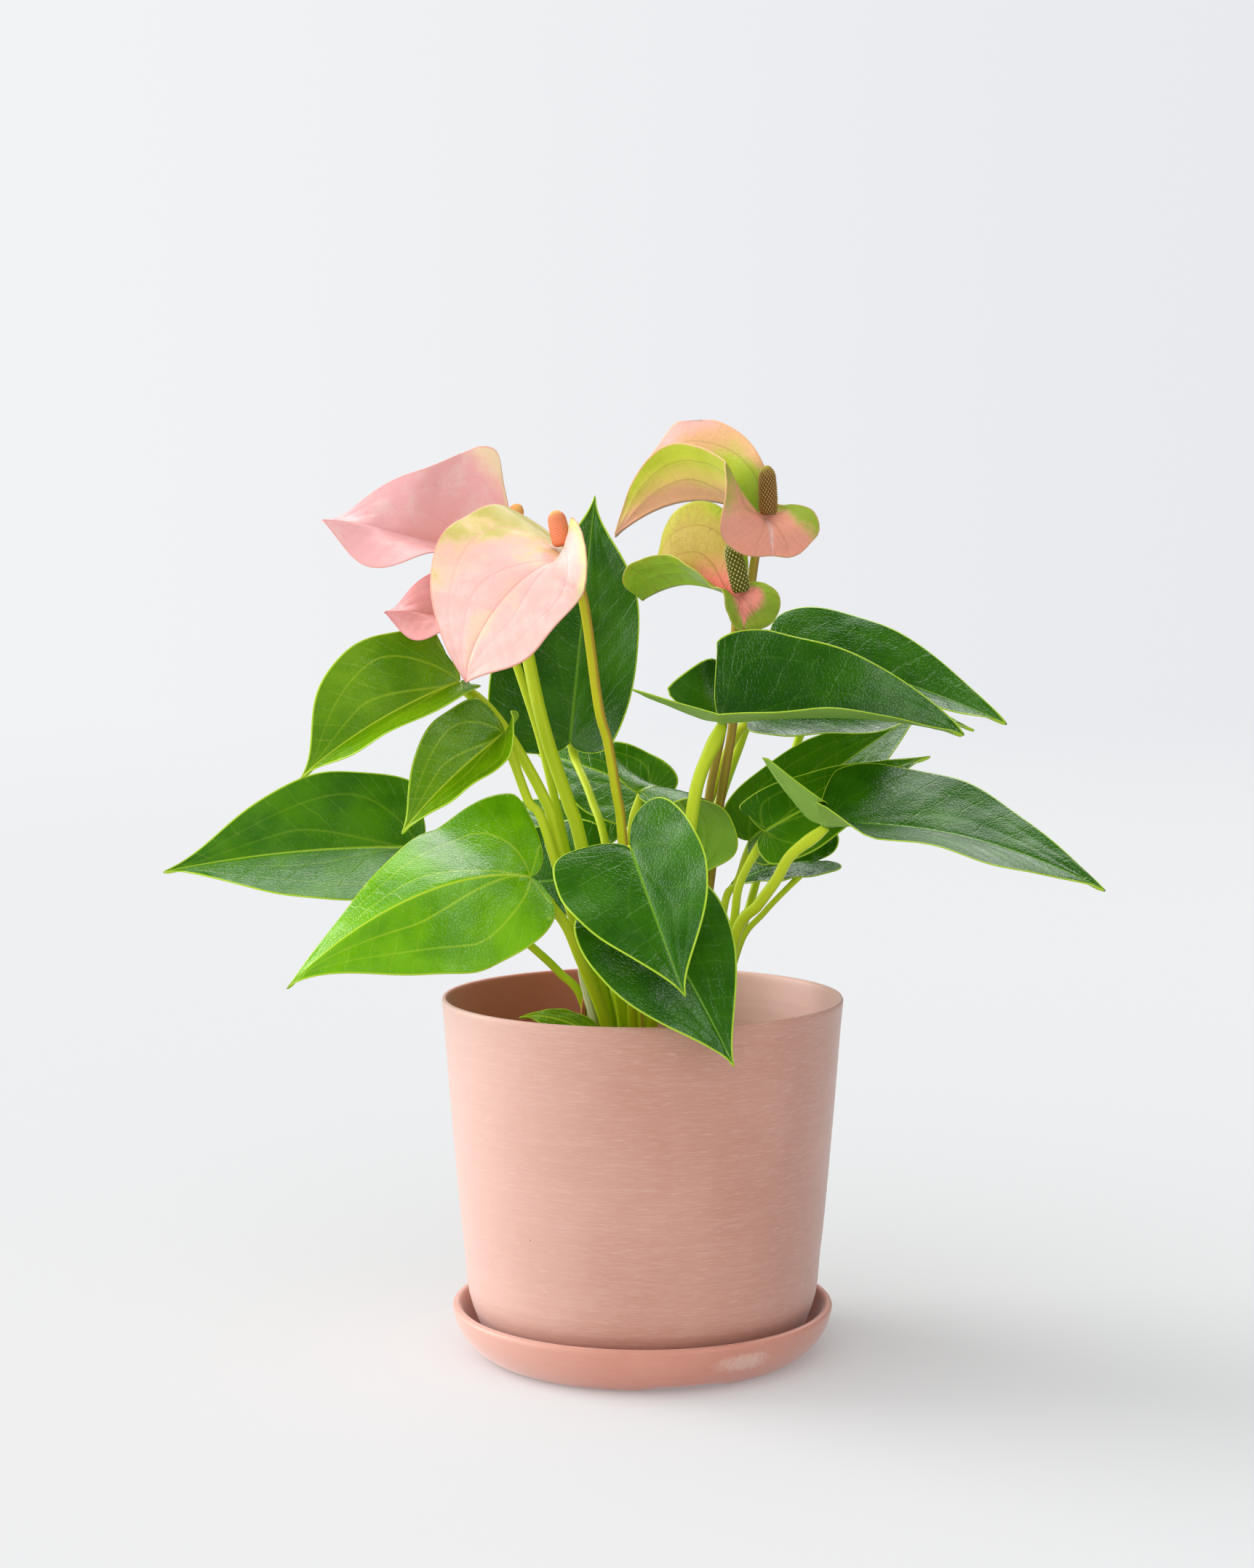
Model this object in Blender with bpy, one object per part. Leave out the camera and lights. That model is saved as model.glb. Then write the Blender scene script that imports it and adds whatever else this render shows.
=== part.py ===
"""Potted anthurium: a saucer, a tapered pot, soil, and the plant's leaves and blooms.

Metres, +Z up. The origin is the middle of the saucer's underside, on the surface that
it stands on, and the plant's best side faces -Y. Tables below are in millimetres.
"""
import math
from dataclasses import dataclass

import bmesh
import bpy
import numpy as np

MM = 0.001
GAP = 0.3

# Saucer, millimetres
SAUCER_RADIUS = 66.7
SAUCER_HEIGHT = 16.8
SAUCER_FOOT_RADIUS = 55.5
SAUCER_FLOOR = 4.0
SAUCER_LIP = 3.2

# Pot, millimetres
POT_RIM_RADIUS = 70.0
POT_RIM_HEIGHT = 124.3
POT_BASE_HEIGHT = SAUCER_FLOOR + GAP
POT_BASE_RADIUS = 51.0
POT_WALL = 3.2
POT_RIM_WALL = 1.7
POT_FLOOR = 5.0
DRAIN_RADIUS = 7.0
TURNED_SIDES = 44

# Soil, millimetres
SOIL_TOP = 98.0
SOIL_RELIEF = 1.3
ROOT_DEPTH = 14.0
HOLE_SIDES = 8

# Leaf blades and spathes
MARGIN_THICKNESS = 0.75
RIB_THICKNESS = 1.4
CROSS_STEPS = (0.16, 0.56, 1.0)
INNER_LOBE_STEPS = (0.40, 0.72, 1.0)
BACK_LOBE_STEPS = (0.34, 0.68, 1.0)
SIDE_STEPS = (0.13, 0.27, 0.42, 0.57, 0.71, 0.85)
MIDRIB_HANDLE = 0.38
TIP_BLEND = (0.50, 1.0)
MARGIN_WAVES = 2.5

# Stems
STEM_RINGS = 9
STEM_BEVEL = 1

# Spadices
SPADIX_SIDES = 10
SPADIX_BUMP = 0.10

COLOURS = {
    "saucer": ((0.72, 0.30, 0.21), 0.75),
    "pot": ((0.66, 0.38, 0.30), 0.70),
    "soil": ((0.06, 0.04, 0.03), 0.95),
    "leaf_dark": ((0.03, 0.13, 0.03), 0.30),
    "leaf_mid": ((0.07, 0.24, 0.03), 0.32),
    "leaf_young": ((0.18, 0.38, 0.03), 0.35),
    "stem_green": ((0.30, 0.48, 0.06), 0.40),
    "stem_olive": ((0.32, 0.30, 0.07), 0.40),
    "spathe_pink": ((0.90, 0.50, 0.45), 0.40),
    "spathe_green": ((0.60, 0.50, 0.12), 0.40),
    "spadix_orange": ((0.85, 0.32, 0.16), 0.50),
    "spadix_brown": ((0.22, 0.14, 0.06), 0.60),
    "sheath": ((0.35, 0.18, 0.06), 0.70),
}


@dataclass
class Blade:
    """A heart-shaped blade between two points, with its halves folded and curled.

    left and right are as seen from above, looking from the base to the tip. Angles are
    in degrees: fold is how far a half rises from level at the midrib, curl is what it
    gains by the margin, arch is how the midrib leaves the chord at the base and comes
    back to it at the tip, and lobe_bend is how far the basal lobes turn down, all of it
    in the share bend_end of their length. widest,
    lobe and blend are places along the blade, in blade lengths from its base: belly is
    how far its widest part reaches on to the tip, taper the width it keeps close to the
    tip, shoulder the share of a half's width at the back of its lobe, point how far that
    lobe is drawn out to a point, and blend where the fold of the lobes turns into that of
    the blade. A blade with lobes and sides has its margin point by point (place,
    millimetres) for each half, and folds (place, degrees) instead of the single angles.
    """
    base: tuple
    tip: tuple
    face: tuple
    half: tuple
    fold: tuple = (15, 15)
    curl: tuple = (0, 0)
    arch: tuple = (12, 12)
    widest: tuple = (0.12, 0.12)
    lobe: tuple = (0.22, 0.22)
    lobe_fold: tuple = (15, 15)
    tip_fold: tuple = (15, 15)
    lobe_bend: float = 0.0
    bend_end: float = 1.0
    wave: float = 0.6
    belly: tuple = (0.34, 0.34)
    taper: tuple = (0.10, 0.10)
    blend: tuple = (-0.10, 0.22)
    shoulder: tuple = (0.5, 0.5)
    point: tuple = (0.0, 0.0)
    lobes: tuple = ()
    sides: tuple = ()
    folds: tuple = ()


@dataclass
class Stem:
    """A round stem from its hole in the soil, through its points, to its blade.

    seat is how much nearer the blade its end is than its tilted end alone would allow,
    because the blade's halves rise beside it.
    """
    root: tuple
    points: tuple
    radius: float
    seat: float = 0.15


def leaf(colour, stem, **shape):
    """One leaf: its colour, its stem and its blade."""
    return colour, stem, Blade(**shape)


LEAVES = {
    "leaf_01": leaf(
        "leaf_young",
        Stem((-11, -6), ((-29, -16, 179), (-33, -16, 193), (-44, -14, 213), (-53, -11, 225)), 1.9, 0.25),
        base=(-63, -8, 234), tip=(-116, -24, 202), face=(-0.10, -0.78, 0.62), half=(27, 26),
        fold=(34, 30), curl=(14, 8), arch=(14, 16), widest=(0.26, 0.40), shoulder=(0.15, 0.45),
        lobe=(0.04, 0.04), lobe_fold=(34, 30), tip_fold=(25, 20), lobe_bend=-30, wave=0.8),
    "leaf_02": leaf(
        "leaf_young", Stem((-14, -11), ((-32, -20, 180), (-39, -20, 194), (-45, -21, 211)), 1.6, 0.35),
        base=(-47, -22, 217), tip=(-81, -35, 184), face=(-0.10, -0.80, 0.60), half=(19, 18),
        fold=(30, 28), curl=(12, 8), arch=(10, 14), widest=(0.22, 0.28), lobe=(0.16, 0.04),
        lobe_fold=(70, 30), tip_fold=(25, 20), lobe_bend=-20, wave=0.6),
    "leaf_03": leaf(
        "leaf_mid", Stem((-17, -5), ((-21, -8, 124), (-29, -5, 133), (-38, -2, 141), (-57, 5, 156)), 1.4),
        base=(-79, 12, 175), tip=(-168, 5, 167), face=(0.02, -0.79, 0.62), half=(29, 27.5),
        fold=(20, 22), curl=(0, 4), arch=(10, 10), widest=(0.26, 0.30), lobe=(0.06, 0.05),
        lobe_fold=(20, 22), tip_fold=(20, 20), lobe_bend=-40, belly=(0.34, 0.30), wave=0.6),
    "leaf_04": leaf(
        "leaf_mid", Stem((-10, -16), ((-23, -27, 145), (-31, -29, 159)), 1.8),
        base=(-38, -30, 169), tip=(-118, -50, 134), face=(-0.05, -0.70, 0.72), half=(30, 36),
        fold=(-38, -16), arch=(44, 34), widest=(0.30, 0.17), shoulder=(0.34, 0.5), lobe=(0.04, 0.10),
        lobe_fold=(0, 20), tip_fold=(-30, -20), lobe_bend=-30, belly=(0.34, 0.18),
        taper=(0.10, 0.06), wave=1.0),
    "leaf_05": leaf(
        "leaf_mid", Stem((-4, 3), ((-12, 12, 170), (-18, 24, 191), (-24, 40, 204)), 1.5, 0.5),
        base=(-26, 37, 211), tip=(-17, 49, 300), face=(0.0, -1.0, 0.12), half=(31, 23),
        fold=(8, 16), curl=(-4, 14), arch=(8, 10), widest=(0.20, 0.40), lobe=(0.07, 0.05),
        lobe_fold=(8, 30), tip_fold=(12, 20), lobe_bend=-20, wave=0.8),
    "leaf_06": leaf(
        "leaf_dark", Stem((-3, -15), ((-5, -36, 150), (-5, -44, 168), (-5, -52, 179)), 1.7),
        base=(-4, -62, 181), tip=(13, -88, 137), face=(-0.22, -0.86, 0.52), half=(23, 27),
        fold=(14, 10), curl=(4, 0), arch=(14, 18), widest=(0.26, 0.14), lobe=(0.26, 0.11),
        lobe_fold=(14, 10), tip_fold=(18, 18), lobe_bend=6, wave=0.6),
    "leaf_07": leaf(
        "leaf_dark", Stem((3, -14), ((4, -34, 140), (3, -47, 156)), 1.7),
        base=(1, -57, 160), tip=(29, -78, 113), face=(0.10, -0.88, 0.50), half=(22, 29),
        fold=(10, 12), curl=(0, 6), arch=(18, 12), widest=(0.16, 0.20), lobe=(0.12, 0.14),
        lobe_fold=(10, 12), tip_fold=(14, 14), wave=0.6),
    "leaf_08": leaf(
        "leaf_dark", Stem((11, -4), ((15, -17, 170), (17, -20, 191), (20, -20, 204)), 2.3, 0.5),
        base=(27, -19.5, 221), tip=(110, -13.5, 216), face=(0.0, -0.66, 0.75), half=(31, 31),
        fold=(34, 48), curl=(-6, 0), arch=(10, 16), widest=(0.20, 0.34), lobe=(0.04, 0.44),
        lobe_fold=(40, 50), tip_fold=(24, 38), lobe_bend=-34, bend_end=0.25, wave=0.8, belly=(0.06, 0.20),
        taper=(0.50, 0.10), point=(0.0, 0.9)),
    "leaf_09": leaf(
        "leaf_mid", Stem((1, -2), ((-5, -5, 160), (-4, -7, 182)), 1.5),
        base=(-1, -6, 196), tip=(19, 20, 160), face=(0.54, 0.38, 0.74), half=(17, 23),
        fold=(0, 4), curl=(0, -10), arch=(75, 60), widest=(0.20, 0.50), lobe=(0.05, 0.08),
        lobe_fold=(52, 0), tip_fold=(0, 0), wave=0.4),
    "leaf_10": leaf(
        "leaf_mid", Stem((-3, 9), ((-3, 25, 150), (0, 36, 176)), 1.6, 0.45),
        base=(2, 38, 192), tip=(-39, 63, 205), face=(0.10, -0.86, 0.50), half=(19, 14),
        fold=(8, 10), curl=(0, 8), arch=(14, 14), widest=(0.20, 0.20), lobe=(0.08, 0.16),
        lobe_fold=(8, 10), wave=0.5),
    "leaf_11": leaf(
        "leaf_dark", Stem((18, 15), ((24, 40, 170), (37, 52, 212)), 1.8, 0.7),
        base=(47, 40, 240), tip=(130, 24, 218), face=(0.10, -0.66, 0.74), half=(24.5, 26),
        fold=(20, 30), curl=(-10, -8), arch=(16, 12), widest=(0.20, 0.20), lobe=(0.04, 0.04),
        lobe_fold=(20, 26), tip_fold=(10, 10), belly=(0.20, 0.34), taper=(0.42, 0.10), wave=0.8),
    "leaf_12": leaf(
        "leaf_dark", Stem((10, 8), ((18, 31, 165), (26, 31, 195), (33, 25, 213)), 1.7),
        base=(39, 14, 222), tip=(104, 16, 221), face=(-0.05, -0.50, 0.86), half=(27, 29),
        fold=(-16, 14), arch=(10, 10), widest=(0.10, 0.42), lobe=(0.48, 0.04), point=(0.4, 0.0),
        lobe_fold=(46, 14), blend=(-0.30, 0.04), tip_fold=(-22, 15), lobe_bend=-20, wave=0.6),
    "leaf_13": leaf(
        "leaf_dark", Stem((26, -4), ((32, -6, 145), (40, -9, 157), (46, -12, 166), (51, -15, 175)), 2.0, 0.4),
        base=(62, -20, 186), tip=(155, -35, 165), face=(0.12, -0.52, 0.84), half=(29, 25),
        fold=(8, 22), curl=(4, 0), arch=(18, 16), widest=(0.24, 0.48), lobe=(0.04, 0.36),
        lobe_fold=(14, 74), tip_fold=(8, 6), lobe_bend=-62, bend_end=0.25, belly=(0.24, 0.22),
        taper=(0.32, 0.10), point=(0.0, 0.9), wave=0.8),
    "leaf_14": leaf(
        "leaf_mid", Stem((23, 11), ((29, 18, 152), (34, 24, 161)), 1.4, 0.3),
        base=(39, 30, 176), tip=(105, 58, 222), face=(-0.20, -0.86, 0.46), half=(17.5, 21),
        fold=(10, 20), curl=(0, 10), arch=(10, 12), widest=(0.24, 0.24), lobe=(0.04, 0.06),
        lobe_fold=(10, 20), wave=0.8),
    "leaf_15": leaf(
        "leaf_mid", Stem((20, -1), ((31, -1, 146), (34, -2, 164)), 1.5),
        base=(43, 1, 182), tip=(102, 18, 207), face=(0.0, -0.63, 0.77), half=(15, 16.5),
        fold=(6, -4), curl=(4, -6), arch=(8, 8), widest=(0.10, 0.14), lobe=(0.03, 0.10),
        lobe_fold=(6, -4), wave=0.6),
    "leaf_16": leaf(
        "leaf_dark", Stem((26, 3), ((34, 14, 138), (44, 22, 151)), 1.1),
        base=(61, 32, 168), tip=(31, 48, 156), face=(-0.10, -0.62, 0.78), half=(11, 16),
        fold=(10, 10), arch=(20, 16), lobe=(0.32, 0.26), wave=0.4),
    "leaf_17": leaf(
        "leaf_dark", Stem((-15, 2), ((-17, 9, 135),), 1.4, 0.35),
        base=(-23, 18, 163), tip=(-72, 46, 152), face=(0.10, -0.86, 0.50), half=(17, 22),
        fold=(10, 10), arch=(12, 14), lobe=(0.20, 0.20), wave=0.5),
    "leaf_18": leaf(
        "leaf_mid", Stem((-10, 6), ((-11, 26, 140),), 1.4, 0.45),
        base=(-13, 37, 174), tip=(-53, 68, 186), face=(0.10, -0.80, 0.60), half=(15, 12),
        fold=(10, 10), arch=(12, 14), lobe=(0.20, 0.06), wave=0.5),
    "leaf_19": leaf(
        "leaf_young", Stem((-8, -21.5), ((-10, -23, 107),), 1.1),
        base=(-16, -28, 115), tip=(-41, -42, 123.5), face=(0.0, -0.45, 0.90), half=(12, 8),
        fold=(-25, 8), arch=(10, 20), lobe=(0.06, 0.06), lobe_fold=(-15, 8),
        tip_fold=(-10, 8), wave=0.3),
    "leaf_20": leaf(
        "leaf_dark", Stem((24, 17), ((40, 45, 152), (52, 68, 190)), 1.5, 0.35),
        base=(62, 82, 218), tip=(129, 104, 212), face=(0.0, -0.30, 0.95), half=(24, 24),
        fold=(12, 12), curl=(-8, -8), arch=(14, 12), wave=0.6),
}


@dataclass
class Spadix:
    """The spike of the bloom: the way it points, its length and its greatest radius.

    foot is where it stands: millimetres above the midrib's line, behind the blade's base
    and to the left of it.
    """
    axis: tuple
    length: float
    radius: float
    colour: str
    foot: tuple = (2.5, 0.0, 0.0)


def bloom(colour, stem_colour, stem, spadix, **shape):
    """One bloom: the colours and stem, the spadix and the spathe's blade."""
    return colour, stem_colour, stem, spadix, Blade(**shape)


BLOOMS = {
    "bloom_1": bloom(
        "spathe_pink", "stem_green",
        Stem((-5, -3), ((-21, -9, 177), (-25, -10, 191), (-33, -10, 215), (-39, -4, 240)), 2.3, 0.65),
        Spadix((0.40, -0.55, 0.80), 14, 3.0, "spadix_orange", (3.1, 0.0, 0.0)),
        base=(-47, 3, 282), tip=(-108, -22, 289), face=(0.37, -0.71, 0.60), half=(22.5, 34),
        fold=(38, 35), arch=(-32, 8), widest=(0.50, 0.10), lobe=(0.06, 0.05),
        lobe_fold=(40, 35), tip_fold=(-20, -52), belly=(0.36, 0.27), taper=(0.75, 0.34)),
    "bloom_2": bloom(
        "spathe_pink", "stem_green",
        Stem((-9.5, 0), ((-26, -3, 173), (-30, -2, 191), (-34, 0, 208), (-38, 2, 222)), 1.5, 0.5),
        Spadix((0.28, -0.56, 0.80), 10, 2.4, "spadix_orange", (2.4, 0.0, 0.0)),
        base=(-49, 3, 256), tip=(-88, -14, 258), face=(0.34, -0.62, 0.70), half=(14.5, 20),
        fold=(34, 30), arch=(-20, 10), widest=(0.45, 0.22), lobe=(0.06, 0.05),
        lobe_fold=(30, 30), tip_fold=(-35, -45), belly=(0.40, 0.32), taper=(0.80, 0.50)),
    "bloom_3": bloom(
        "spathe_pink", "stem_green",
        Stem((-1, -8), ((-7, -13, 181), (-9, -15, 196), (-12, -18, 214), (-15, -23, 226),
                        (-20, -33, 262)), 1.7, 0.5),
        Spadix((-0.22, 0.10, 1.0), 12, 3.3, "spadix_orange", (3.6, 1.0, -4.8)),
        base=(-25, -37, 275), tip=(-58, -55, 235), face=(-0.30, -0.75, 0.58), half=(23, 36),
        fold=(-4, 8), arch=(55, 58), widest=(0.50, 0.20), shoulder=(0.25, 0.5), lobe=(0.04, 0.15),
        lobe_fold=(104, 12), tip_fold=(0, 14), belly=(0.34, 0.42), taper=(0.60, 0.26),
        blend=(0.0, 0.24)),
    "bloom_4": bloom(
        "spathe_green", "stem_olive",
        Stem((17, 9), ((25, 29, 165), (28, 27, 190), (31.5, 9, 217), (38, 8, 268)), 1.6, 0.4),
        Spadix((-0.04, 0.02, 1.0), 17, 3.1, "spadix_brown", (2.5, 3.0, 0.6)),
        base=(41, -1, 290), tip=(-10, 50, 285), face=(0.0, 0.0, 1.0), half=(28, 28),
        arch=(28, 26), lobe=(0.10, 0.10), lobe_bend=60,
        lobes=(((-0.10, 0.3), (-0.195, 1), (-0.20, 9), (-0.19, 16), (-0.155, 22), (-0.105, 27),
                (-0.06, 31), (-0.02, 32)),
               ((-0.10, 0.3), (-0.195, 1), (-0.20, 9), (-0.18, 14), (-0.135, 18.5), (-0.09, 21),
                (-0.05, 20), (-0.02, 15))),
        sides=(((0.02, 31), (0.06, 28.5), (0.12, 26.5), (0.24, 26), (0.40, 24), (0.55, 19.5),
                (0.70, 13.5), (0.85, 6.5)),
               ((0.01, 8), (0.05, 11), (0.10, 17), (0.20, 23.5), (0.36, 27.5), (0.50, 28.5),
                (0.62, 21.5), (0.80, 11))),
        folds=(((-0.12, 2), (-0.06, 12), (0.0, 36), (0.05, 38), (0.12, 42), (0.22, 48), (0.35, 52),
                (0.75, 54), (0.87, 62), (1.0, 62)),
               ((-0.14, 4), (-0.08, 12), (-0.05, 19), (-0.02, 22), (0.01, 38), (0.05, 72), (0.10, 84),
                (0.28, 86), (0.5, 93), (0.7, 90), (0.85, 85), (1.0, 80)))),
    "bloom_5": bloom(
        "spathe_green", "stem_olive",
        Stem((14, 3), ((21, 26, 165), (24, 24, 193), (28, 4, 218), (32, 2, 250)), 1.5, 0.3),
        Spadix((-0.22, 0.02, 1.0), 18, 3.15, "spadix_brown", (2.5, 3.0, 0.7)),
        base=(32, -7, 263), tip=(0, 30, 262), face=(0.0, 0.0, 1.0), half=(16, 28),
        arch=(18, 22), lobe=(0.12, 0.12), lobe_bend=70,
        lobes=(((-0.14, 0.3), (-0.25, 1), (-0.255, 2.6), (-0.235, 4.8), (-0.20, 6.4), (-0.14, 8),
                (-0.08, 10), (-0.035, 11.4)),
               ((-0.14, 0.3), (-0.25, 1.5), (-0.255, 5.5), (-0.235, 10.5), (-0.20, 13.5), (-0.14, 15.3),
                (-0.08, 15), (-0.03, 11))),
        sides=(((0.01, 10.5), (0.06, 11), (0.12, 13.2), (0.25, 15.5), (0.50, 13.5), (0.70, 15),
                (0.83, 14.6), (0.93, 11.5)),
               ((0.005, 6), (0.03, 11), (0.08, 17), (0.16, 24), (0.30, 28.6), (0.48, 27.5),
                (0.66, 21), (0.83, 13))),
        folds=(((-0.10, 4), (-0.035, 30), (0.01, 14), (0.06, 16), (0.12, 24), (0.25, 32), (0.5, 48),
                (0.7, 45), (0.82, 41), (0.93, 27), (1.0, 20)),
               ((-0.15, 3), (-0.10, 10), (-0.05, 24), (-0.03, 33), (-0.01, 42), (0.005, 62), (0.06, 75),
                (0.12, 80), (0.2, 85), (0.3, 92), (0.42, 98), (0.55, 99), (0.7, 90), (0.85, 73),
                (1.0, 65)))),
}

# The rolled new shoot beside the left stems, and the dry sheath round their foot
NEW_SHOOT = Stem((-16, -16.5), ((-17, -17, 118), (-22, -20, 136)), 1.9)
DRY_SHEATH = Stem((9, -11), ((9, -12, 108), (8, -13, 120)), 1.8)


def material(name):
    """The Principled material of one colour group, made once."""
    if name in bpy.data.materials:
        return bpy.data.materials[name]
    colour, roughness = COLOURS[name]
    made = bpy.data.materials.new(name)
    made.use_nodes = True
    shader = made.node_tree.nodes["Principled BSDF"]
    shader.inputs["Base Color"].default_value = (*colour, 1.0)
    shader.inputs["Roughness"].default_value = roughness
    shader.inputs["Metallic"].default_value = 0.0
    return made


def link_mesh(name, bm, colour):
    """Turn a bmesh whose points are in millimetres into an object in metres."""
    bmesh.ops.scale(bm, vec=(MM, MM, MM), verts=bm.verts)
    mesh = bpy.data.meshes.new(name)
    bm.to_mesh(mesh)
    bm.free()
    mesh.shade_smooth()
    mesh.materials.append(material(colour))
    made = bpy.data.objects.new(name, mesh)
    bpy.context.collection.objects.link(made)
    return made


def unit(vector):
    """The vector at length 1."""
    vector = np.asarray(vector, float)
    return vector / np.linalg.norm(vector)


def smoothstep(low, high, value):
    """A smooth rise from 0 at low to 1 at high."""
    part = min(1.0, max(0.0, (value - low) / (high - low)))
    return part * part * (3.0 - 2.0 * part)


def bezier(p0, p1, p2, p3, part):
    """A point of a cubic Bezier curve."""
    rest = 1.0 - part
    p0, p1, p2, p3 = (np.asarray(p, float) for p in (p0, p1, p2, p3))
    return rest ** 3 * p0 + 3 * rest ** 2 * part * p1 + 3 * rest * part ** 2 * p2 + part ** 3 * p3


class Surface:
    """Carries flat blade coordinates (part of the length, millimetres across) to space."""

    SAMPLES = 60

    def __init__(self, blade):
        self.blade = blade
        base = np.asarray(blade.base, float)
        chord = np.asarray(blade.tip, float) - base
        reach = np.linalg.norm(chord)
        along = chord / reach
        face = np.asarray(blade.face, float)
        up = unit(face - along * np.dot(face, along))
        self.side = np.cross(up, along)
        rise, fall = (math.radians(angle) for angle in blade.arch)
        handle = MIDRIB_HANDLE * reach
        first = base + handle * (math.cos(rise) * along + math.sin(rise) * up)
        last = base + chord - handle * (math.cos(fall) * along - math.sin(fall) * up)
        steps = np.linspace(0.0, 1.0, self.SAMPLES)
        self.spine = np.array([bezier(base, first, last, base + chord, step) for step in steps])
        tangents = np.gradient(self.spine, axis=0)
        tangents[0] = first - base
        tangents[-1] = base + chord - last
        self.tangents = tangents / np.linalg.norm(tangents, axis=1, keepdims=True)
        runs = np.linalg.norm(np.diff(self.spine, axis=0), axis=1)
        self.length = runs.sum()
        self.along = np.concatenate([[0.0], np.cumsum(runs)]) / self.length

    def frame(self, x):
        """Position, side and normal directions on the midrib line, x in blade lengths."""
        if x < 0.0:
            tangent = self.tangents[0]
            normal = np.cross(tangent, self.side)
            reach = self.blade.bend_end * max(self.blade.lobe)
            bent = min(-x, reach)
            bend = math.radians(self.blade.lobe_bend) * bent / reach
            back = bent * self.length
            straight = -x * self.length - back
            if abs(bend) > 1e-3:
                ahead = back * math.sin(bend) / bend
                down = back * (1.0 - math.cos(bend)) / bend
            else:
                ahead = back
                down = 0.0
            ahead += straight * math.cos(bend)
            down += straight * math.sin(bend)
            place = self.spine[0] - tangent * ahead - normal * down
            return place, self.side, math.cos(bend) * normal - math.sin(bend) * tangent
        place = np.array([np.interp(x, self.along, self.spine[:, axis]) for axis in range(3)])
        tangent = unit([np.interp(x, self.along, self.tangents[:, axis]) for axis in range(3)])
        normal = np.cross(tangent, self.side)
        return place, self.side, normal

    def fold_at(self, x, half):
        """How far a half rises from level at a place of the midrib, in degrees."""
        blade = self.blade
        if blade.folds:
            places, angles = zip(*blade.folds[half])
            return float(np.interp(x, places, angles))
        fold = blade.lobe_fold[half]
        fold += (blade.fold[half] - fold) * smoothstep(*blade.blend, x)
        return fold + (blade.tip_fold[half] - fold) * smoothstep(*TIP_BLEND, x)

    def point(self, x, y):
        """A point of the blade: x in blade lengths from its base, y millimetres to the left."""
        blade = self.blade
        half = 0 if y >= 0.0 else 1
        place, side, normal = self.frame(x)
        fold = math.radians(self.fold_at(x, half))
        width = blade.half[half]
        curl = math.radians(blade.curl[half]) / width
        run = abs(y)
        if abs(curl) > 1e-5:
            out = (math.sin(fold + curl * run) - math.sin(fold)) / curl
            rise = (math.cos(fold) - math.cos(fold + curl * run)) / curl
        else:
            out = run * math.cos(fold)
            rise = run * math.sin(fold)
        share = min(1.0, run / width)
        rise += blade.wave * share ** 2 * math.sin(2.0 * math.pi * MARGIN_WAVES * x + 2.0 * half)
        return place + side * math.copysign(out, y) + normal * rise


def half_margin(blade, half):
    """Margin points of one half, from the sinus round the lobe to just before the tip."""
    if blade.lobes:
        return [*blade.lobes[half], *blade.sides[half]]
    widest = blade.widest[half]
    lobe = blade.lobe[half]
    point = blade.point[half]
    shoulder = blade.shoulder[half] * (1.0 - 0.85 * point)
    reach = lobe * (1.0 - 0.4 * point)
    outer = 0.72 * shoulder + 0.5 * (1.0 - 0.6 * point)
    inner = ((0.0, 0.0), (-0.30 * lobe, 0.02), (-lobe, 0.20 * shoulder), (-lobe, shoulder))
    back = ((-lobe, shoulder), (-reach, outer), (widest - 0.22, 1.0), (widest, 1.0))
    side = ((widest, 1.0), (widest + blade.belly[half], 1.0), (0.80, blade.taper[half]), (1.0, 0.0))
    points = [bezier(*inner, part) for part in INNER_LOBE_STEPS]
    points += [bezier(*back, part) for part in BACK_LOBE_STEPS]
    points += [bezier(*side, part) for part in SIDE_STEPS]
    return [(x, y * blade.half[half]) for x, y in points]


def rib_place(margin_x, widest):
    """Where on the midrib the vein starts that ends at this place of the margin."""
    start = widest - 0.02
    return max(0.0, (margin_x - start) / (1.0 - start)) ** 1.15


def blade_mesh(blade):
    """The blade's middle surface as a bmesh, with the vertices of its midrib."""
    surface = Surface(blade)
    bm = bmesh.new()
    pole = bm.verts.new(surface.point(0.0, 0.0))
    tip = bm.verts.new(surface.point(1.0, 0.0))
    lobe_rows = len(blade.lobes[0]) if blade.lobes else len(INNER_LOBE_STEPS) + len(BACK_LOBE_STEPS)
    widest = 0.0 if blade.lobes else blade.widest[0]
    starts = [rib_place(x, widest) for x, _ in half_margin(blade, 0)]
    ribs = [pole] * lobe_rows
    ribs += [bm.verts.new(surface.point(start, 0.0)) for start in starts[lobe_rows:]]
    for half, sign in ((0, 1.0), (1, -1.0)):
        rows = []
        for rib, start, (x, y) in zip(ribs, starts, half_margin(blade, half)):
            start = 0.0 if rib is pole else start
            row = [rib]
            for step in CROSS_STEPS:
                flat_x = start + (x - start) * step
                row.append(bm.verts.new(surface.point(flat_x, sign * y * step)))
            rows.append(row)
        rows.append([tip] * (len(CROSS_STEPS) + 1))
        for row, ahead in zip(rows, rows[1:]):
            for step in range(len(CROSS_STEPS)):
                corners = (row[step], ahead[step], ahead[step + 1], row[step + 1])
                for face in ((corners[0], corners[1], corners[2]), (corners[0], corners[2], corners[3])):
                    if len(set(face)) == 3:
                        bm.faces.new(face if half == 1 else face[::-1])
    return bm, {pole, tip, *ribs}, surface


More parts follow.
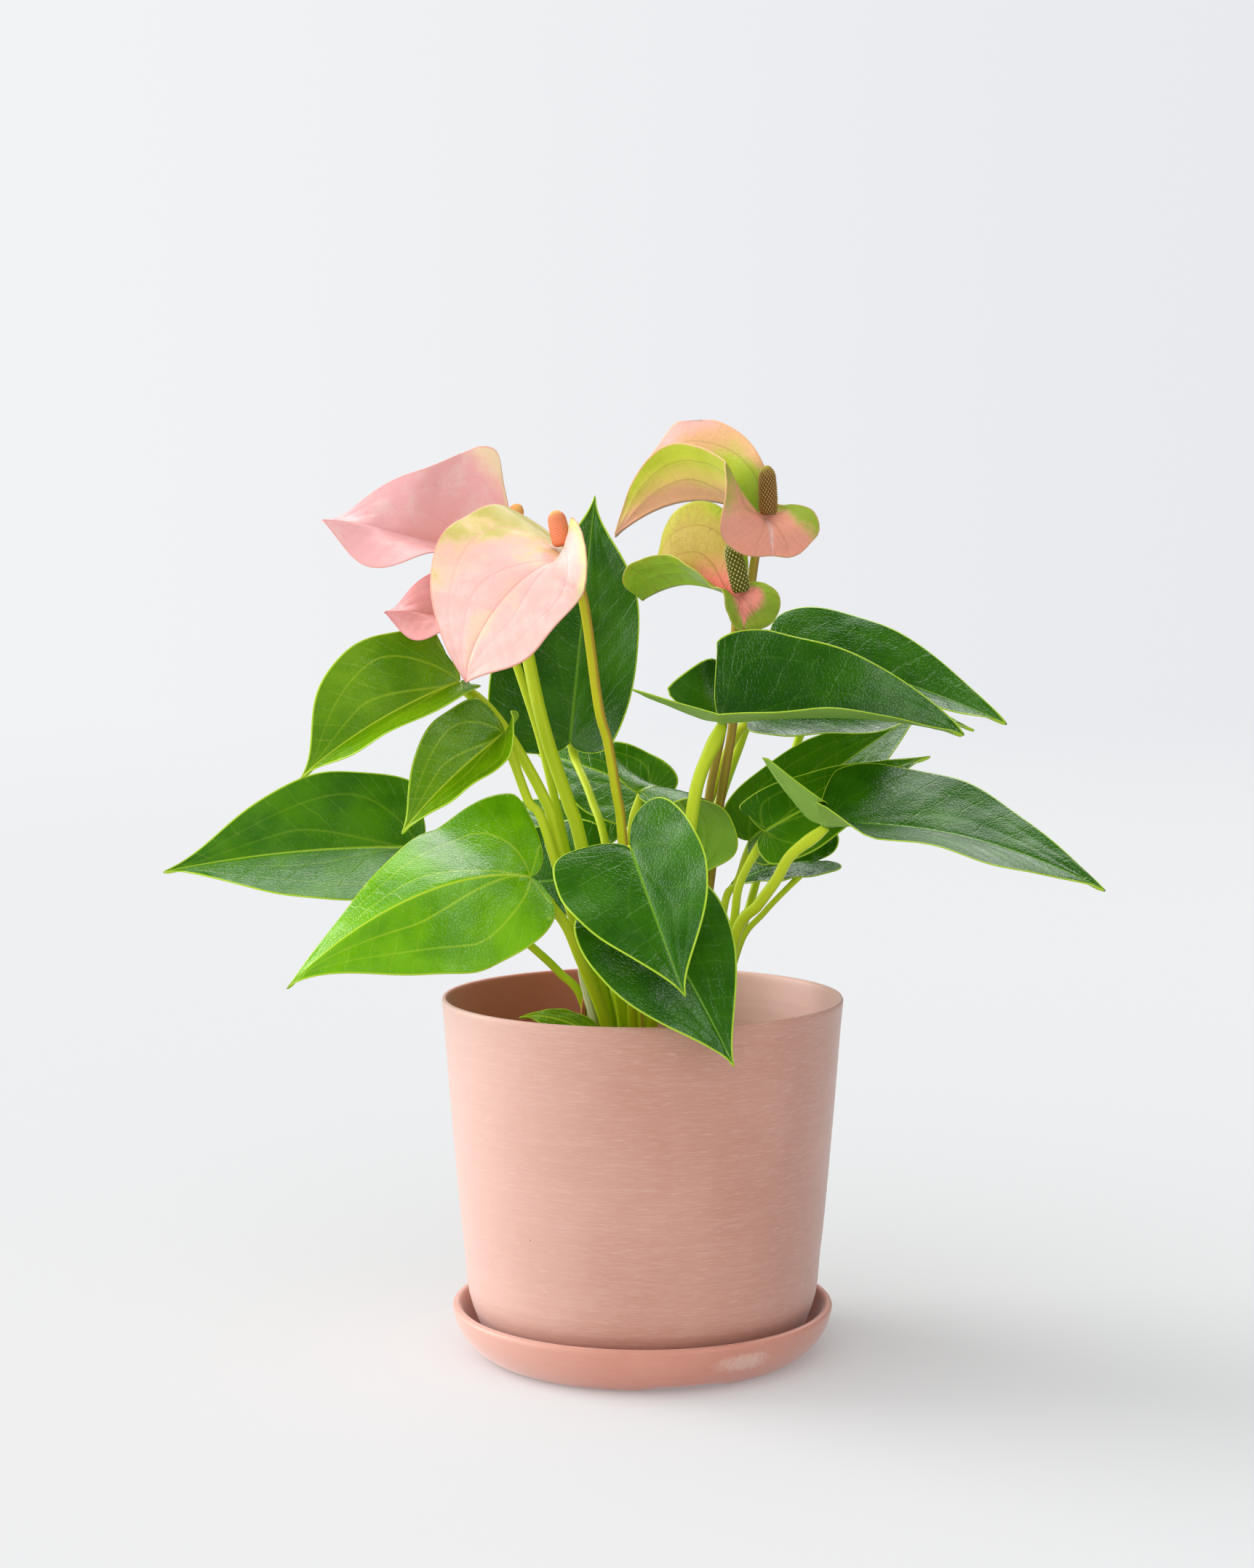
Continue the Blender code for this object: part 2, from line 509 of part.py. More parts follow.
def add_blade(name, blade, colour):
    """A blade of even thickness with a thicker midrib, both faces split alike."""
    bm, ribs, surface = blade_mesh(blade)
    layer = bm.verts.layers.deform.verify()
    for vert in bm.verts:
        vert[layer][0] = 1.0 if vert in ribs else 0.0
    made = link_mesh(name, bm, colour)
    made.vertex_groups.new(name="midrib")
    solid = made.modifiers.new("thickness", "SOLIDIFY")
    solid.thickness = RIB_THICKNESS * MM
    solid.offset = 0.0
    solid.vertex_group = "midrib"
    solid.thickness_vertex_group = MARGIN_THICKNESS / RIB_THICKNESS
    return surface


def stem_line(stem, end, arrive):
    """Smooth points of a stem: straight out of the soil, through its points, to its end."""
    foot = np.array([*stem.root, SOIL_TOP + 1.5])
    knots = [foot, *(np.asarray(point, float) for point in stem.points), np.asarray(end, float)]
    slopes = [np.array([0.0, 0.0, np.linalg.norm(knots[1] - knots[0])])]
    for before, after in zip(knots, knots[2:]):
        slopes.append((after - before) / 2.0)
    slopes.append(arrive * np.linalg.norm(knots[-1] - knots[-2]))
    spans = len(knots) - 1
    line = [np.array([*stem.root, SOIL_TOP - ROOT_DEPTH])]
    for step in np.linspace(0.0, spans, STEM_RINGS):
        span = min(int(step), spans - 1)
        low, high = slopes[span] / 3.0, slopes[span + 1] / 3.0
        line.append(bezier(knots[span], knots[span] + low, knots[span + 1] - high, knots[span + 1],
                           step - span))
    return line


def add_tube(name, line, radii, colour):
    """A round tube with closed ends along a line of points in millimetres."""
    curve = bpy.data.curves.new(name, "CURVE")
    curve.dimensions = "3D"
    curve.bevel_depth = MM
    curve.bevel_resolution = STEM_BEVEL
    curve.use_fill_caps = True
    spline = curve.splines.new("POLY")
    spline.points.add(len(line) - 1)
    for point, place, radius in zip(spline.points, line, radii):
        point.co = (*(place * MM), 1.0)
        point.radius = radius
    curve.materials.append(material(colour))
    made = bpy.data.objects.new(name, curve)
    bpy.context.collection.objects.link(made)
    return made


def add_stem(name, stem, surface, colour):
    """A stem whose end stops just under the middle of its blade's base."""
    base, _, normal = surface.frame(0.0)
    approach = unit(base - np.asarray(stem.points[-1], float))
    top_radius = 0.80 * stem.radius
    lean = math.sqrt(max(0.0, 1.0 - float(np.dot(approach, normal)) ** 2))
    droop = math.radians(max(0.0, -surface.fold_at(0.0, 0), -surface.fold_at(0.0, 1)))
    under = RIB_THICKNESS / 2.0 + GAP + top_radius * max(lean, math.tan(droop)) - stem.seat
    end = base - normal * under
    line = stem_line(stem, end, approach)
    radii = np.linspace(stem.radius + 0.25, stem.radius, len(line) - 1).tolist() + [top_radius]
    add_tube(name, line, radii, colour)


def add_spadix(name, spadix, surface):
    """A blunt spike with a knobbly surface, standing on the spathe's base."""
    base, side_way, normal = surface.frame(0.0)
    axis = unit(spadix.axis)
    across = unit(np.cross(axis, (0.0, 1.0, 0.0)))
    beside = np.cross(axis, across)
    above, behind, aside = spadix.foot
    foot = base + normal * above - np.cross(side_way, normal) * behind + side_way * aside
    outline = ((0.0, 0.55), (0.06, 0.88), (0.20, 1.0), (0.36, 1.0), (0.52, 0.98), (0.68, 0.93),
               (0.84, 0.84), (0.95, 0.55))
    bm = bmesh.new()
    rings = []
    for level, (height, share) in enumerate(outline):
        ring = []
        for side in range(SPADIX_SIDES):
            angle = 2.0 * math.pi * (side + 0.5 * (level % 2)) / SPADIX_SIDES
            bump = 1.0 + SPADIX_BUMP * (1.0 if (side + level) % 2 else -0.4)
            radius = spadix.radius * share * (bump if 0 < level < len(outline) - 1 else 1.0)
            spot = foot + axis * spadix.length * height
            spot = spot + radius * (math.cos(angle) * across + math.sin(angle) * beside)
            ring.append(bm.verts.new(spot))
        rings.append(ring)
    bottom = bm.verts.new(foot)
    top = bm.verts.new(foot + axis * spadix.length)
    for side in range(SPADIX_SIDES):
        ahead = (side + 1) % SPADIX_SIDES
        bm.faces.new((bottom, rings[0][ahead], rings[0][side]))
        bm.faces.new((top, rings[-1][side], rings[-1][ahead]))
        for level, (low, high) in enumerate(zip(rings, rings[1:])):
            if level % 2 == 0:
                bm.faces.new((low[side], low[ahead], high[side]))
                bm.faces.new((low[ahead], high[ahead], high[side]))
            else:
                bm.faces.new((low[side], low[ahead], high[ahead]))
                bm.faces.new((low[side], high[ahead], high[side]))
    bmesh.ops.recalc_face_normals(bm, faces=bm.faces)
    link_mesh(name, bm, spadix.colour)


def add_turned(name, profile, colour, relief=None, loop=False):
    """A body turned round the Z axis from (radius, height) points; loop closes on itself."""
    bm = bmesh.new()
    rings = []
    for index, (radius, height) in enumerate(profile):
        if radius <= 0.0:
            rings.append([bm.verts.new((0.0, 0.0, height))])
            continue
        ring = []
        for side in range(TURNED_SIDES):
            angle = 2.0 * math.pi * side / TURNED_SIDES
            x, y = radius * math.cos(angle), radius * math.sin(angle)
            lift = relief(x, y, index) if relief else 0.0
            ring.append(bm.verts.new((x, y, height + lift)))
        rings.append(ring)
    pairs = list(zip(rings, rings[1:]))
    if loop:
        pairs.append((rings[-1], rings[0]))
    for ring, following in pairs:
        for side in range(TURNED_SIDES):
            ahead = (side + 1) % TURNED_SIDES
            corners = [ring[side % len(ring)], ring[ahead % len(ring)]]
            corners += [following[ahead % len(following)], following[side % len(following)]]
            kept = [corner for at, corner in enumerate(corners) if corner not in corners[:at]]
            bm.faces.new(kept)
    bmesh.ops.triangulate(bm, faces=bm.faces)
    bmesh.ops.recalc_face_normals(bm, faces=bm.faces)
    return link_mesh(name, bm, colour)


def lip_arc(middle_radius, middle_height, half_width, steps):
    """A half-round lip from the outer side over the top to the inner side."""
    angles = [math.pi * step / steps for step in range(steps + 1)]
    return [(middle_radius + half_width * math.cos(a), middle_height + half_width * math.sin(a))
            for a in angles]


def add_saucer():
    """A shallow saucer with a round lip and a flat underside."""
    half_lip = SAUCER_LIP / 2.0
    lip = lip_arc(SAUCER_RADIUS - half_lip, SAUCER_HEIGHT - half_lip, half_lip, 4)
    outside = [(0.0, 0.0), (SAUCER_FOOT_RADIUS, 0.0), (59.2, 2.2), (62.6, 5.6), (65.2, 9.8)]
    inside = [(61.8, 10.2), (59.0, 6.4), (55.2, SAUCER_FLOOR), (0.0, SAUCER_FLOOR)]
    add_turned("saucer", outside + lip + inside, "saucer")


def pot_inside(height):
    """The pot's inner radius at a height: a straight taper that thins to the rim."""
    part = (height - POT_BASE_HEIGHT - POT_FLOOR) / (POT_RIM_HEIGHT - POT_BASE_HEIGHT - POT_FLOOR)
    outer = 60.2 + (POT_RIM_RADIUS - 60.2) * part
    return outer - (POT_WALL + (POT_RIM_WALL - POT_WALL) * part ** 3)


def add_pot():
    """A tapered pot with a rounded foot, a thin round rim and a hole in its floor."""
    half_rim = POT_RIM_WALL / 2.0
    floor_top = POT_BASE_HEIGHT + POT_FLOOR
    outside = [(DRAIN_RADIUS, POT_BASE_HEIGHT), (POT_BASE_RADIUS, POT_BASE_HEIGHT), (55.8, 7.7),
               (58.6, 13.3), (60.2, 17.5), (62.7, 36.0), (66.4, 76.0)]
    rim = lip_arc(POT_RIM_RADIUS - half_rim, POT_RIM_HEIGHT - half_rim, half_rim, 3)
    inside = [(pot_inside(height), height) for height in (100.0, 60.0, 24.0)]
    inside += [(53.5, floor_top + 1.5), (51.0, floor_top), (DRAIN_RADIUS, floor_top)]
    add_turned("pot", outside + rim + inside, "pot", loop=True)


def soil_relief(x, y, index):
    """Low crumbly waves of the soil's surface; nothing below its edge."""
    if index > 4:
        return 0.0
    wave = math.sin(0.31 * x + 1.3) * math.cos(0.27 * y - 0.4)
    wave += 0.6 * math.sin(0.83 * x - 0.71 * y) + 0.4 * math.cos(1.27 * y + 0.9 * x)
    return SOIL_RELIEF * 0.5 * wave


def all_stems():
    """Every stem that stands in the soil."""
    stems = [entry[1] for entry in LEAVES.values()]
    stems += [entry[2] for entry in BLOOMS.values()]
    return stems + [NEW_SHOOT, DRY_SHEATH]


def add_hole_cutters():
    """Plain round holes for the stems, in a collection of their own."""
    holes = bpy.data.collections.new("stem_holes")
    bpy.context.scene.collection.children.link(holes)
    for number, stem in enumerate(all_stems()):
        bm = bmesh.new()
        radius = (stem.radius + 0.25 + GAP) * MM / math.cos(math.pi / HOLE_SIDES)
        depth = (ROOT_DEPTH + GAP + 12.0) * MM
        bmesh.ops.create_cone(bm, cap_ends=True, segments=HOLE_SIDES, radius1=radius,
                              radius2=radius, depth=depth)
        mesh = bpy.data.meshes.new(f"hole_{number}")
        bm.to_mesh(mesh)
        bm.free()
        cutter = bpy.data.objects.new(f"hole_{number}", mesh)
        cutter.location = (stem.root[0] * MM, stem.root[1] * MM,
                           (SOIL_TOP - ROOT_DEPTH - GAP) * MM + depth / 2.0)
        cutter.hide_render = True
        cutter.display_type = "WIRE"
        holes.objects.link(cutter)
    return holes


def add_soil():
    """The soil that fills the pot, with a hole for each stem."""
    edge = pot_inside(SOIL_TOP - 4.0) - GAP
    bottom = POT_BASE_HEIGHT + POT_FLOOR + GAP
    profile = [(0.0, SOIL_TOP + 0.5), (18.0, SOIL_TOP), (34.0, SOIL_TOP), (50.0, SOIL_TOP - 0.5),
               (edge, SOIL_TOP - 1.5), (pot_inside(60.0) - GAP, 60.0),
               (pot_inside(24.0) - GAP - 0.1, 24.0), (52.8 - GAP, bottom + 2.0), (50.2 - GAP, bottom),
               (0.0, bottom)]
    soil = add_turned("soil", profile, "soil", relief=soil_relief)
    cut = soil.modifiers.new("stem_holes", "BOOLEAN")
    cut.operation = "DIFFERENCE"
    cut.solver = "EXACT"
    cut.operand_type = "COLLECTION"
    cut.collection = add_hole_cutters()


def add_leaves():
    """Each leaf as a blade and a stem."""
    for name, (colour, stem, blade) in LEAVES.items():
        surface = add_blade(name, blade, colour)
        add_stem(f"{name}_stem", stem, surface, "stem_green")


def add_blooms():
    """Each bloom as a spathe, a spadix and a stem."""
    for name, (colour, stem_colour, stem, spadix, blade) in BLOOMS.items():
        surface = add_blade(f"{name}_spathe", blade, colour)
        add_spadix(f"{name}_spadix", spadix, surface)
        add_stem(f"{name}_stem", stem, surface, stem_colour)


def add_shoots():
    """The rolled new shoot and the dry sheath, each a tapered spike out of the soil."""
    shoots = (("new_shoot", NEW_SHOOT, "stem_green"), ("dry_sheath", DRY_SHEATH, "sheath"))
    for name, stem, colour in shoots:
        end = np.asarray(stem.points[-1], float)
        arrive = unit(end - np.asarray(stem.points[-2], float))
        line = stem_line(Stem(stem.root, stem.points[:-1], stem.radius), end, arrive)
        radii = np.linspace(stem.radius + 0.25, 0.45, len(line)).tolist()
        add_tube(name, line, radii, colour)


def clear_scene():
    """Remove every object before the model is made."""
    for old in list(bpy.data.objects):
        bpy.data.objects.remove(old, do_unlink=True)


def main():
    clear_scene()
    add_saucer()
    add_pot()
    add_soil()
    add_leaves()
    add_blooms()
    add_shoots()


main()
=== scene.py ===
"""Looks of the potted anthurium: fine blades, blooms, stems, pot, saucer and soil.

Tables are in millimetres and degrees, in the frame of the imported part. link_mesh and
the camera turn them to metres. Each fine piece stands where its CAD node stands.
"""

import math
from dataclasses import dataclass

import bmesh
import bpy
import numpy as np
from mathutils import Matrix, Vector, noise

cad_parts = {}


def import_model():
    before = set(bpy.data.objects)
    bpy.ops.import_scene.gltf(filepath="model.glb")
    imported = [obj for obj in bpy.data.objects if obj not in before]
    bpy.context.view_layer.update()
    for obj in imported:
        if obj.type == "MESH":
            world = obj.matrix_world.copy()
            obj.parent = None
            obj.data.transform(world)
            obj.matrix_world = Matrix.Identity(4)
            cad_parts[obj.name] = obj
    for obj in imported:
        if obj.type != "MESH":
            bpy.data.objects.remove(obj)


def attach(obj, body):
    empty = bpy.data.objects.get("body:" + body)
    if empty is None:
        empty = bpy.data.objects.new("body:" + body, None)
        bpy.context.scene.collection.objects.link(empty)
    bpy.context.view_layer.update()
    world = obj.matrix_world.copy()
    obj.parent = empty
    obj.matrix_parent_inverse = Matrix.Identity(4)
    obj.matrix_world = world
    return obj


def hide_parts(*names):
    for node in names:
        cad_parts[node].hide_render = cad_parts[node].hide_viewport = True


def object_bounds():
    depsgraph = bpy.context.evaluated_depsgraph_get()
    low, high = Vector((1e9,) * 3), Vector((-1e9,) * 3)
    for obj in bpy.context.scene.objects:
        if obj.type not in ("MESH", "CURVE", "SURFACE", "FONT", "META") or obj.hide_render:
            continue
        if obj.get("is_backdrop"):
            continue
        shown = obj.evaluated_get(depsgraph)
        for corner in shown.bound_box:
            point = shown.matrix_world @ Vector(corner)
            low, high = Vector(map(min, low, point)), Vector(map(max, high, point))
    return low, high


MM = 0.001

# Camera: place in millimetres, dip in degrees, lens for a 36 mm long side, clip in metres
CAMERA_PLACE = (-5.41, -905.8, 262.3)
CAMERA_DIP = 4.054
CAMERA_LENS = 60.0
CAMERA_SENSOR = 36.0
CAMERA_CLIP = (0.05, 100.0)

# Saucer, pot and soil, millimetres
SAUCER_RADIUS = 66.7
SAUCER_HEIGHT = 16.8
SAUCER_FLOOR = 4.0
SAUCER_LIP = 3.2
POT_RIM_RADIUS = 70.0
POT_RIM_HEIGHT = 124.3
POT_BASE_HEIGHT = 4.3
POT_BASE_RADIUS = 51.0
POT_WALL = 3.2
POT_RIM_WALL = 1.7
POT_FLOOR = 5.0
DRAIN_RADIUS = 7.0
TURNED_SIDES = 176
POT_SPACING = 1.1
SAUCER_SPACING = 0.9
SOIL_TOP = 98.0
SOIL_SIDES = 150
SOIL_RINGS = 56
SOIL_CRUMBS = 150
CRUMB_SIZES = (0.7, 2.0)
CRUMB_STRETCH = (0.6, 1.2)
CRUMB_ROUGH = (0.82, 1.12)

# Blades: rows round each half, columns from midrib to margin, how the rows crowd, thickness
# in millimetres, how far the round margin stands out in half thicknesses, the midrib's
# handles, where the fold of the tip sets in, and points to each curve and each knot
LOBE_ROWS = 26
SIDE_ROWS = 50
COLUMNS = (0.025, 0.06, 0.10, 0.15, 0.205, 0.26, 0.315, 0.37, 0.425, 0.48, 0.535, 0.59, 0.645,
           0.70, 0.75, 0.80, 0.845, 0.885, 0.92, 0.95, 0.975, 1.0)
ROW_CROWDING = 0.92
BLADE_THICKNESS = 0.42
MARGIN_ROUND = 0.8
MIDRIB_HANDLE = 0.38
TIP_BLEND = (0.50, 1.0)
SINUS_START = 16
CURVE_STEPS = 80
KNOT_STEPS = 24
FOLD_REACH = (-0.03, -0.015, 0.0, 0.015, 0.03)
MARGIN_WAVES = 2.5
LATERALS = 9

# Stems and spadices: a stem ends STEM_END_DEPTH under its blade, STEM_TOP as thick. Its
# foot and the joint below its blade are thicker by a share; the joint's place and length
# are millimetres from its end. It rises straight, from STEM_SUNK below the soil's top to
# STEM_RISE above it. A tube's groove is TUBE_GROOVE radians to each side, and its end
# stands out by TUBE_END radii
STEM_SIDES = 18
STEM_STEPS = 64
STEM_END_DEPTH = 0.35
STEM_TOP = 0.78
STEM_FOOT = 0.14
STEM_JOINT = 0.16
STEM_JOINT_PLACE = 7.0
STEM_JOINT_LENGTH = 3.5
STEM_GROOVE = 0.05
STEM_RISE = 1.5
STEM_SUNK = 10.0
TUBE_ASIDE = (0.31, 0.95, 0.05)
TUBE_GROOVE = 0.5
TUBE_END = 0.3
SPADIX_SIDES = 88
SPADIX_STEPS = 96

# Sections of the turned bodies as (radius, height), millimetres
POT_WALL_KNOTS = ((POT_BASE_RADIUS, POT_BASE_HEIGHT), (55.8, 7.7), (58.6, 13.3), (60.2, 17.5),
                  (62.7, 36.0), (66.4, 76.0))
POT_FLOOR_KNOTS = ((55.3, 15.0), (53.5, POT_BASE_HEIGHT + POT_FLOOR + 1.5),
                   (51.0, POT_BASE_HEIGHT + POT_FLOOR))
POT_TAPER_RADIUS = 60.2
POT_TAPER_END = 24.0
POT_STEPS = 12
SAUCER_STEPS = 10
LIP_STEPS = 14
SAUCER_OUTSIDE = ((54.3, 0.0), (55.5, 0.25), (59.2, 2.4), (62.6, 5.8), (65.2, 10.0))
SAUCER_INSIDE = ((61.8, 10.2), (59.0, 6.4), (55.2, SAUCER_FLOOR))

# Turning marks in the pot, millimetres
TURNING_DEPTH = 0.12
TURNING_RINGS = 0.05
TURNING_UNEVEN = 0.10

# Gap in the saucer's foot: where it faces, half its angle and how high it is
NOTCH_ANGLE = math.radians(-75.0)
NOTCH_WIDTH = 0.24
NOTCH_DEPTH = 0.9

# The curved veins of a half: from which row they leave the base (-1 at the sinus, 0 at
# the widest place, 1 at the tip), over how many rows they part, and the share of the
# way to the margin that they keep. From VEINS_CLOSE_FROM on they close in by VEINS_CLOSE,
# and the midrib is narrower by MIDRIB_THINS at the tip
CURVED_VEINS = ((0.0, 0.42, 0.40), (-0.42, 0.50, 0.72))
LOBE_VEIN_ROW = -0.74
LOBE_VEIN_END = 0.84
LOBE_VEIN_STEPS = 9
VEINS_CLOSE = 0.25
VEINS_CLOSE_FROM = 0.75
MIDRIB_THINS = 0.62

# Where the ribs leave the midrib: how far ahead of the widest place, and their bend
RIB_LEAD = 0.02
RIB_BEND = 1.15

# Swells, in millimetres: between the side veins, and long ones as (height, turn along,
# turn across, shift of the blade, shift of the other half)
SIDE_SWELL = 0.10
LONG_SWELLS = ((0.16, 17.0, 5.0, 1.0, 1.0), (0.12, -23.0, 9.0, 2.3, 0.0))

# Grooves above the veins and ribs below them, as (field, width, height) in millimetres;
# the midrib's rib grows thinner to the tip, and the ribs of a leaf stand out more
GROOVES = (("midrib", 1.3, 1.0), ("inner", 1.2, 0.7), ("outer", 1.2, 0.6), ("lobe", 1.2, 0.5))
GROOVE_DEPTH = 0.20
RIB_THINS = 0.6
SIDE_RIBS = (("inner", 0.9, 0.4), ("outer", 0.9, 0.3))
MIDRIB_WIDTH = 1.25
LEAF_RIBS = 0.55
SPATHE_RIBS = 0.25

# How far the swells of one blade are shifted from those of the blade before it
LEAF_SHIFT = 1.7
SPATHE_SHIFT = 2.9

# Spadix: its radius at heights along it, as shares, and where its round top begins
SPADIX_HEIGHTS = (0.0, 0.05, 0.14, 0.30, 0.52, 0.72, 0.86, 1.0)
SPADIX_RADII = (0.72, 0.90, 0.98, 1.0, 0.98, 0.93, 0.86, 0.70)
SPADIX_SHOULDER = 0.72

# How far inside the CAD box every fine point stays
BOX_GAP = 0.02

# Stage: floor, sun, and the surround as diffuse light, as seen and as softboxes, each of
# which is a direction, the cosines where it begins and is full, and its level
FLOOR_HEIGHT = -0.05
FLOOR_SIDES = 64
FLOOR_RINGS = 24
FLOOR_FADE = (900.0, 5200.0)
FLOOR_COLOUR = (0.585, 0.590, 0.600)
FLOOR_GLOW = 0.22
SUN_FROM = (-0.88, 0.28, 0.38)
SUN_SPREAD = 44.0
SUN_POWER = 1.9
SUN_TINT = (1.0, 0.985, 0.965)
SURROUND_FROM = (-0.72, -0.55, 0.42)
SURROUND_DARK = (0.34, 0.345, 0.355)
SURROUND_BRIGHT = (1.50, 1.50, 1.49)
SOFTBOXES = (((0.12, 0.46, 0.86), 0.78, 0.95, 5.4), ((-1.0, 0.05, 0.12), 0.66, 0.92, 1.8),
             ((0.60, -0.60, 0.46), 0.92, 0.98, 4.0))
SOFTBOX_DARK = 0.03
SURROUND_SEEN = ((0.888, 0.896, 0.913), (0.814, 0.824, 0.855))


@dataclass
class Blade:
    """A heart-shaped blade between two points, with its halves folded and curled.

    left and right are as seen from above, looking from the base to the tip. Angles are
    in degrees: fold is how far a half rises from level at the midrib, curl is what it
    gains by the margin, arch is how the midrib leaves the chord at the base and comes
    back to it at the tip, and lobe_bend is how far the basal lobes turn down, all of it
    in the share bend_end of their length. widest, lobe and blend are places along the
    blade, in blade lengths from its base: belly is how far its widest part reaches on to
    the tip, taper the width it keeps close to the tip, shoulder the share of a half's
    width at the back of its lobe, point how far that lobe is drawn out to a point, and
    blend where the fold of the lobes turns into that of the blade. A blade with lobes and
    sides has its margin point by point (place, millimetres) for each half, and folds
    (place, degrees) instead of the single angles.
    """
    base: tuple
    tip: tuple
    face: tuple
    half: tuple
    fold: tuple = (15, 15)
    curl: tuple = (0, 0)
    arch: tuple = (12, 12)
    widest: tuple = (0.12, 0.12)
    lobe: tuple = (0.22, 0.22)
    lobe_fold: tuple = (15, 15)
    tip_fold: tuple = (15, 15)
    lobe_bend: float = 0.0
    bend_end: float = 1.0
    wave: float = 0.6
    belly: tuple = (0.34, 0.34)
    taper: tuple = (0.10, 0.10)
    blend: tuple = (-0.10, 0.22)
    shoulder: tuple = (0.5, 0.5)
    point: tuple = (0.0, 0.0)
    lobes: tuple = ()
    sides: tuple = ()
    folds: tuple = ()


@dataclass
class Stem:
    """A round stem from the soil, through its points, to its blade."""
    root: tuple
    points: tuple
    radius: float


def leaf(colour, stem, **shape):
    """One leaf: its colour, its stem and its blade."""
    return colour, stem, Blade(**shape)


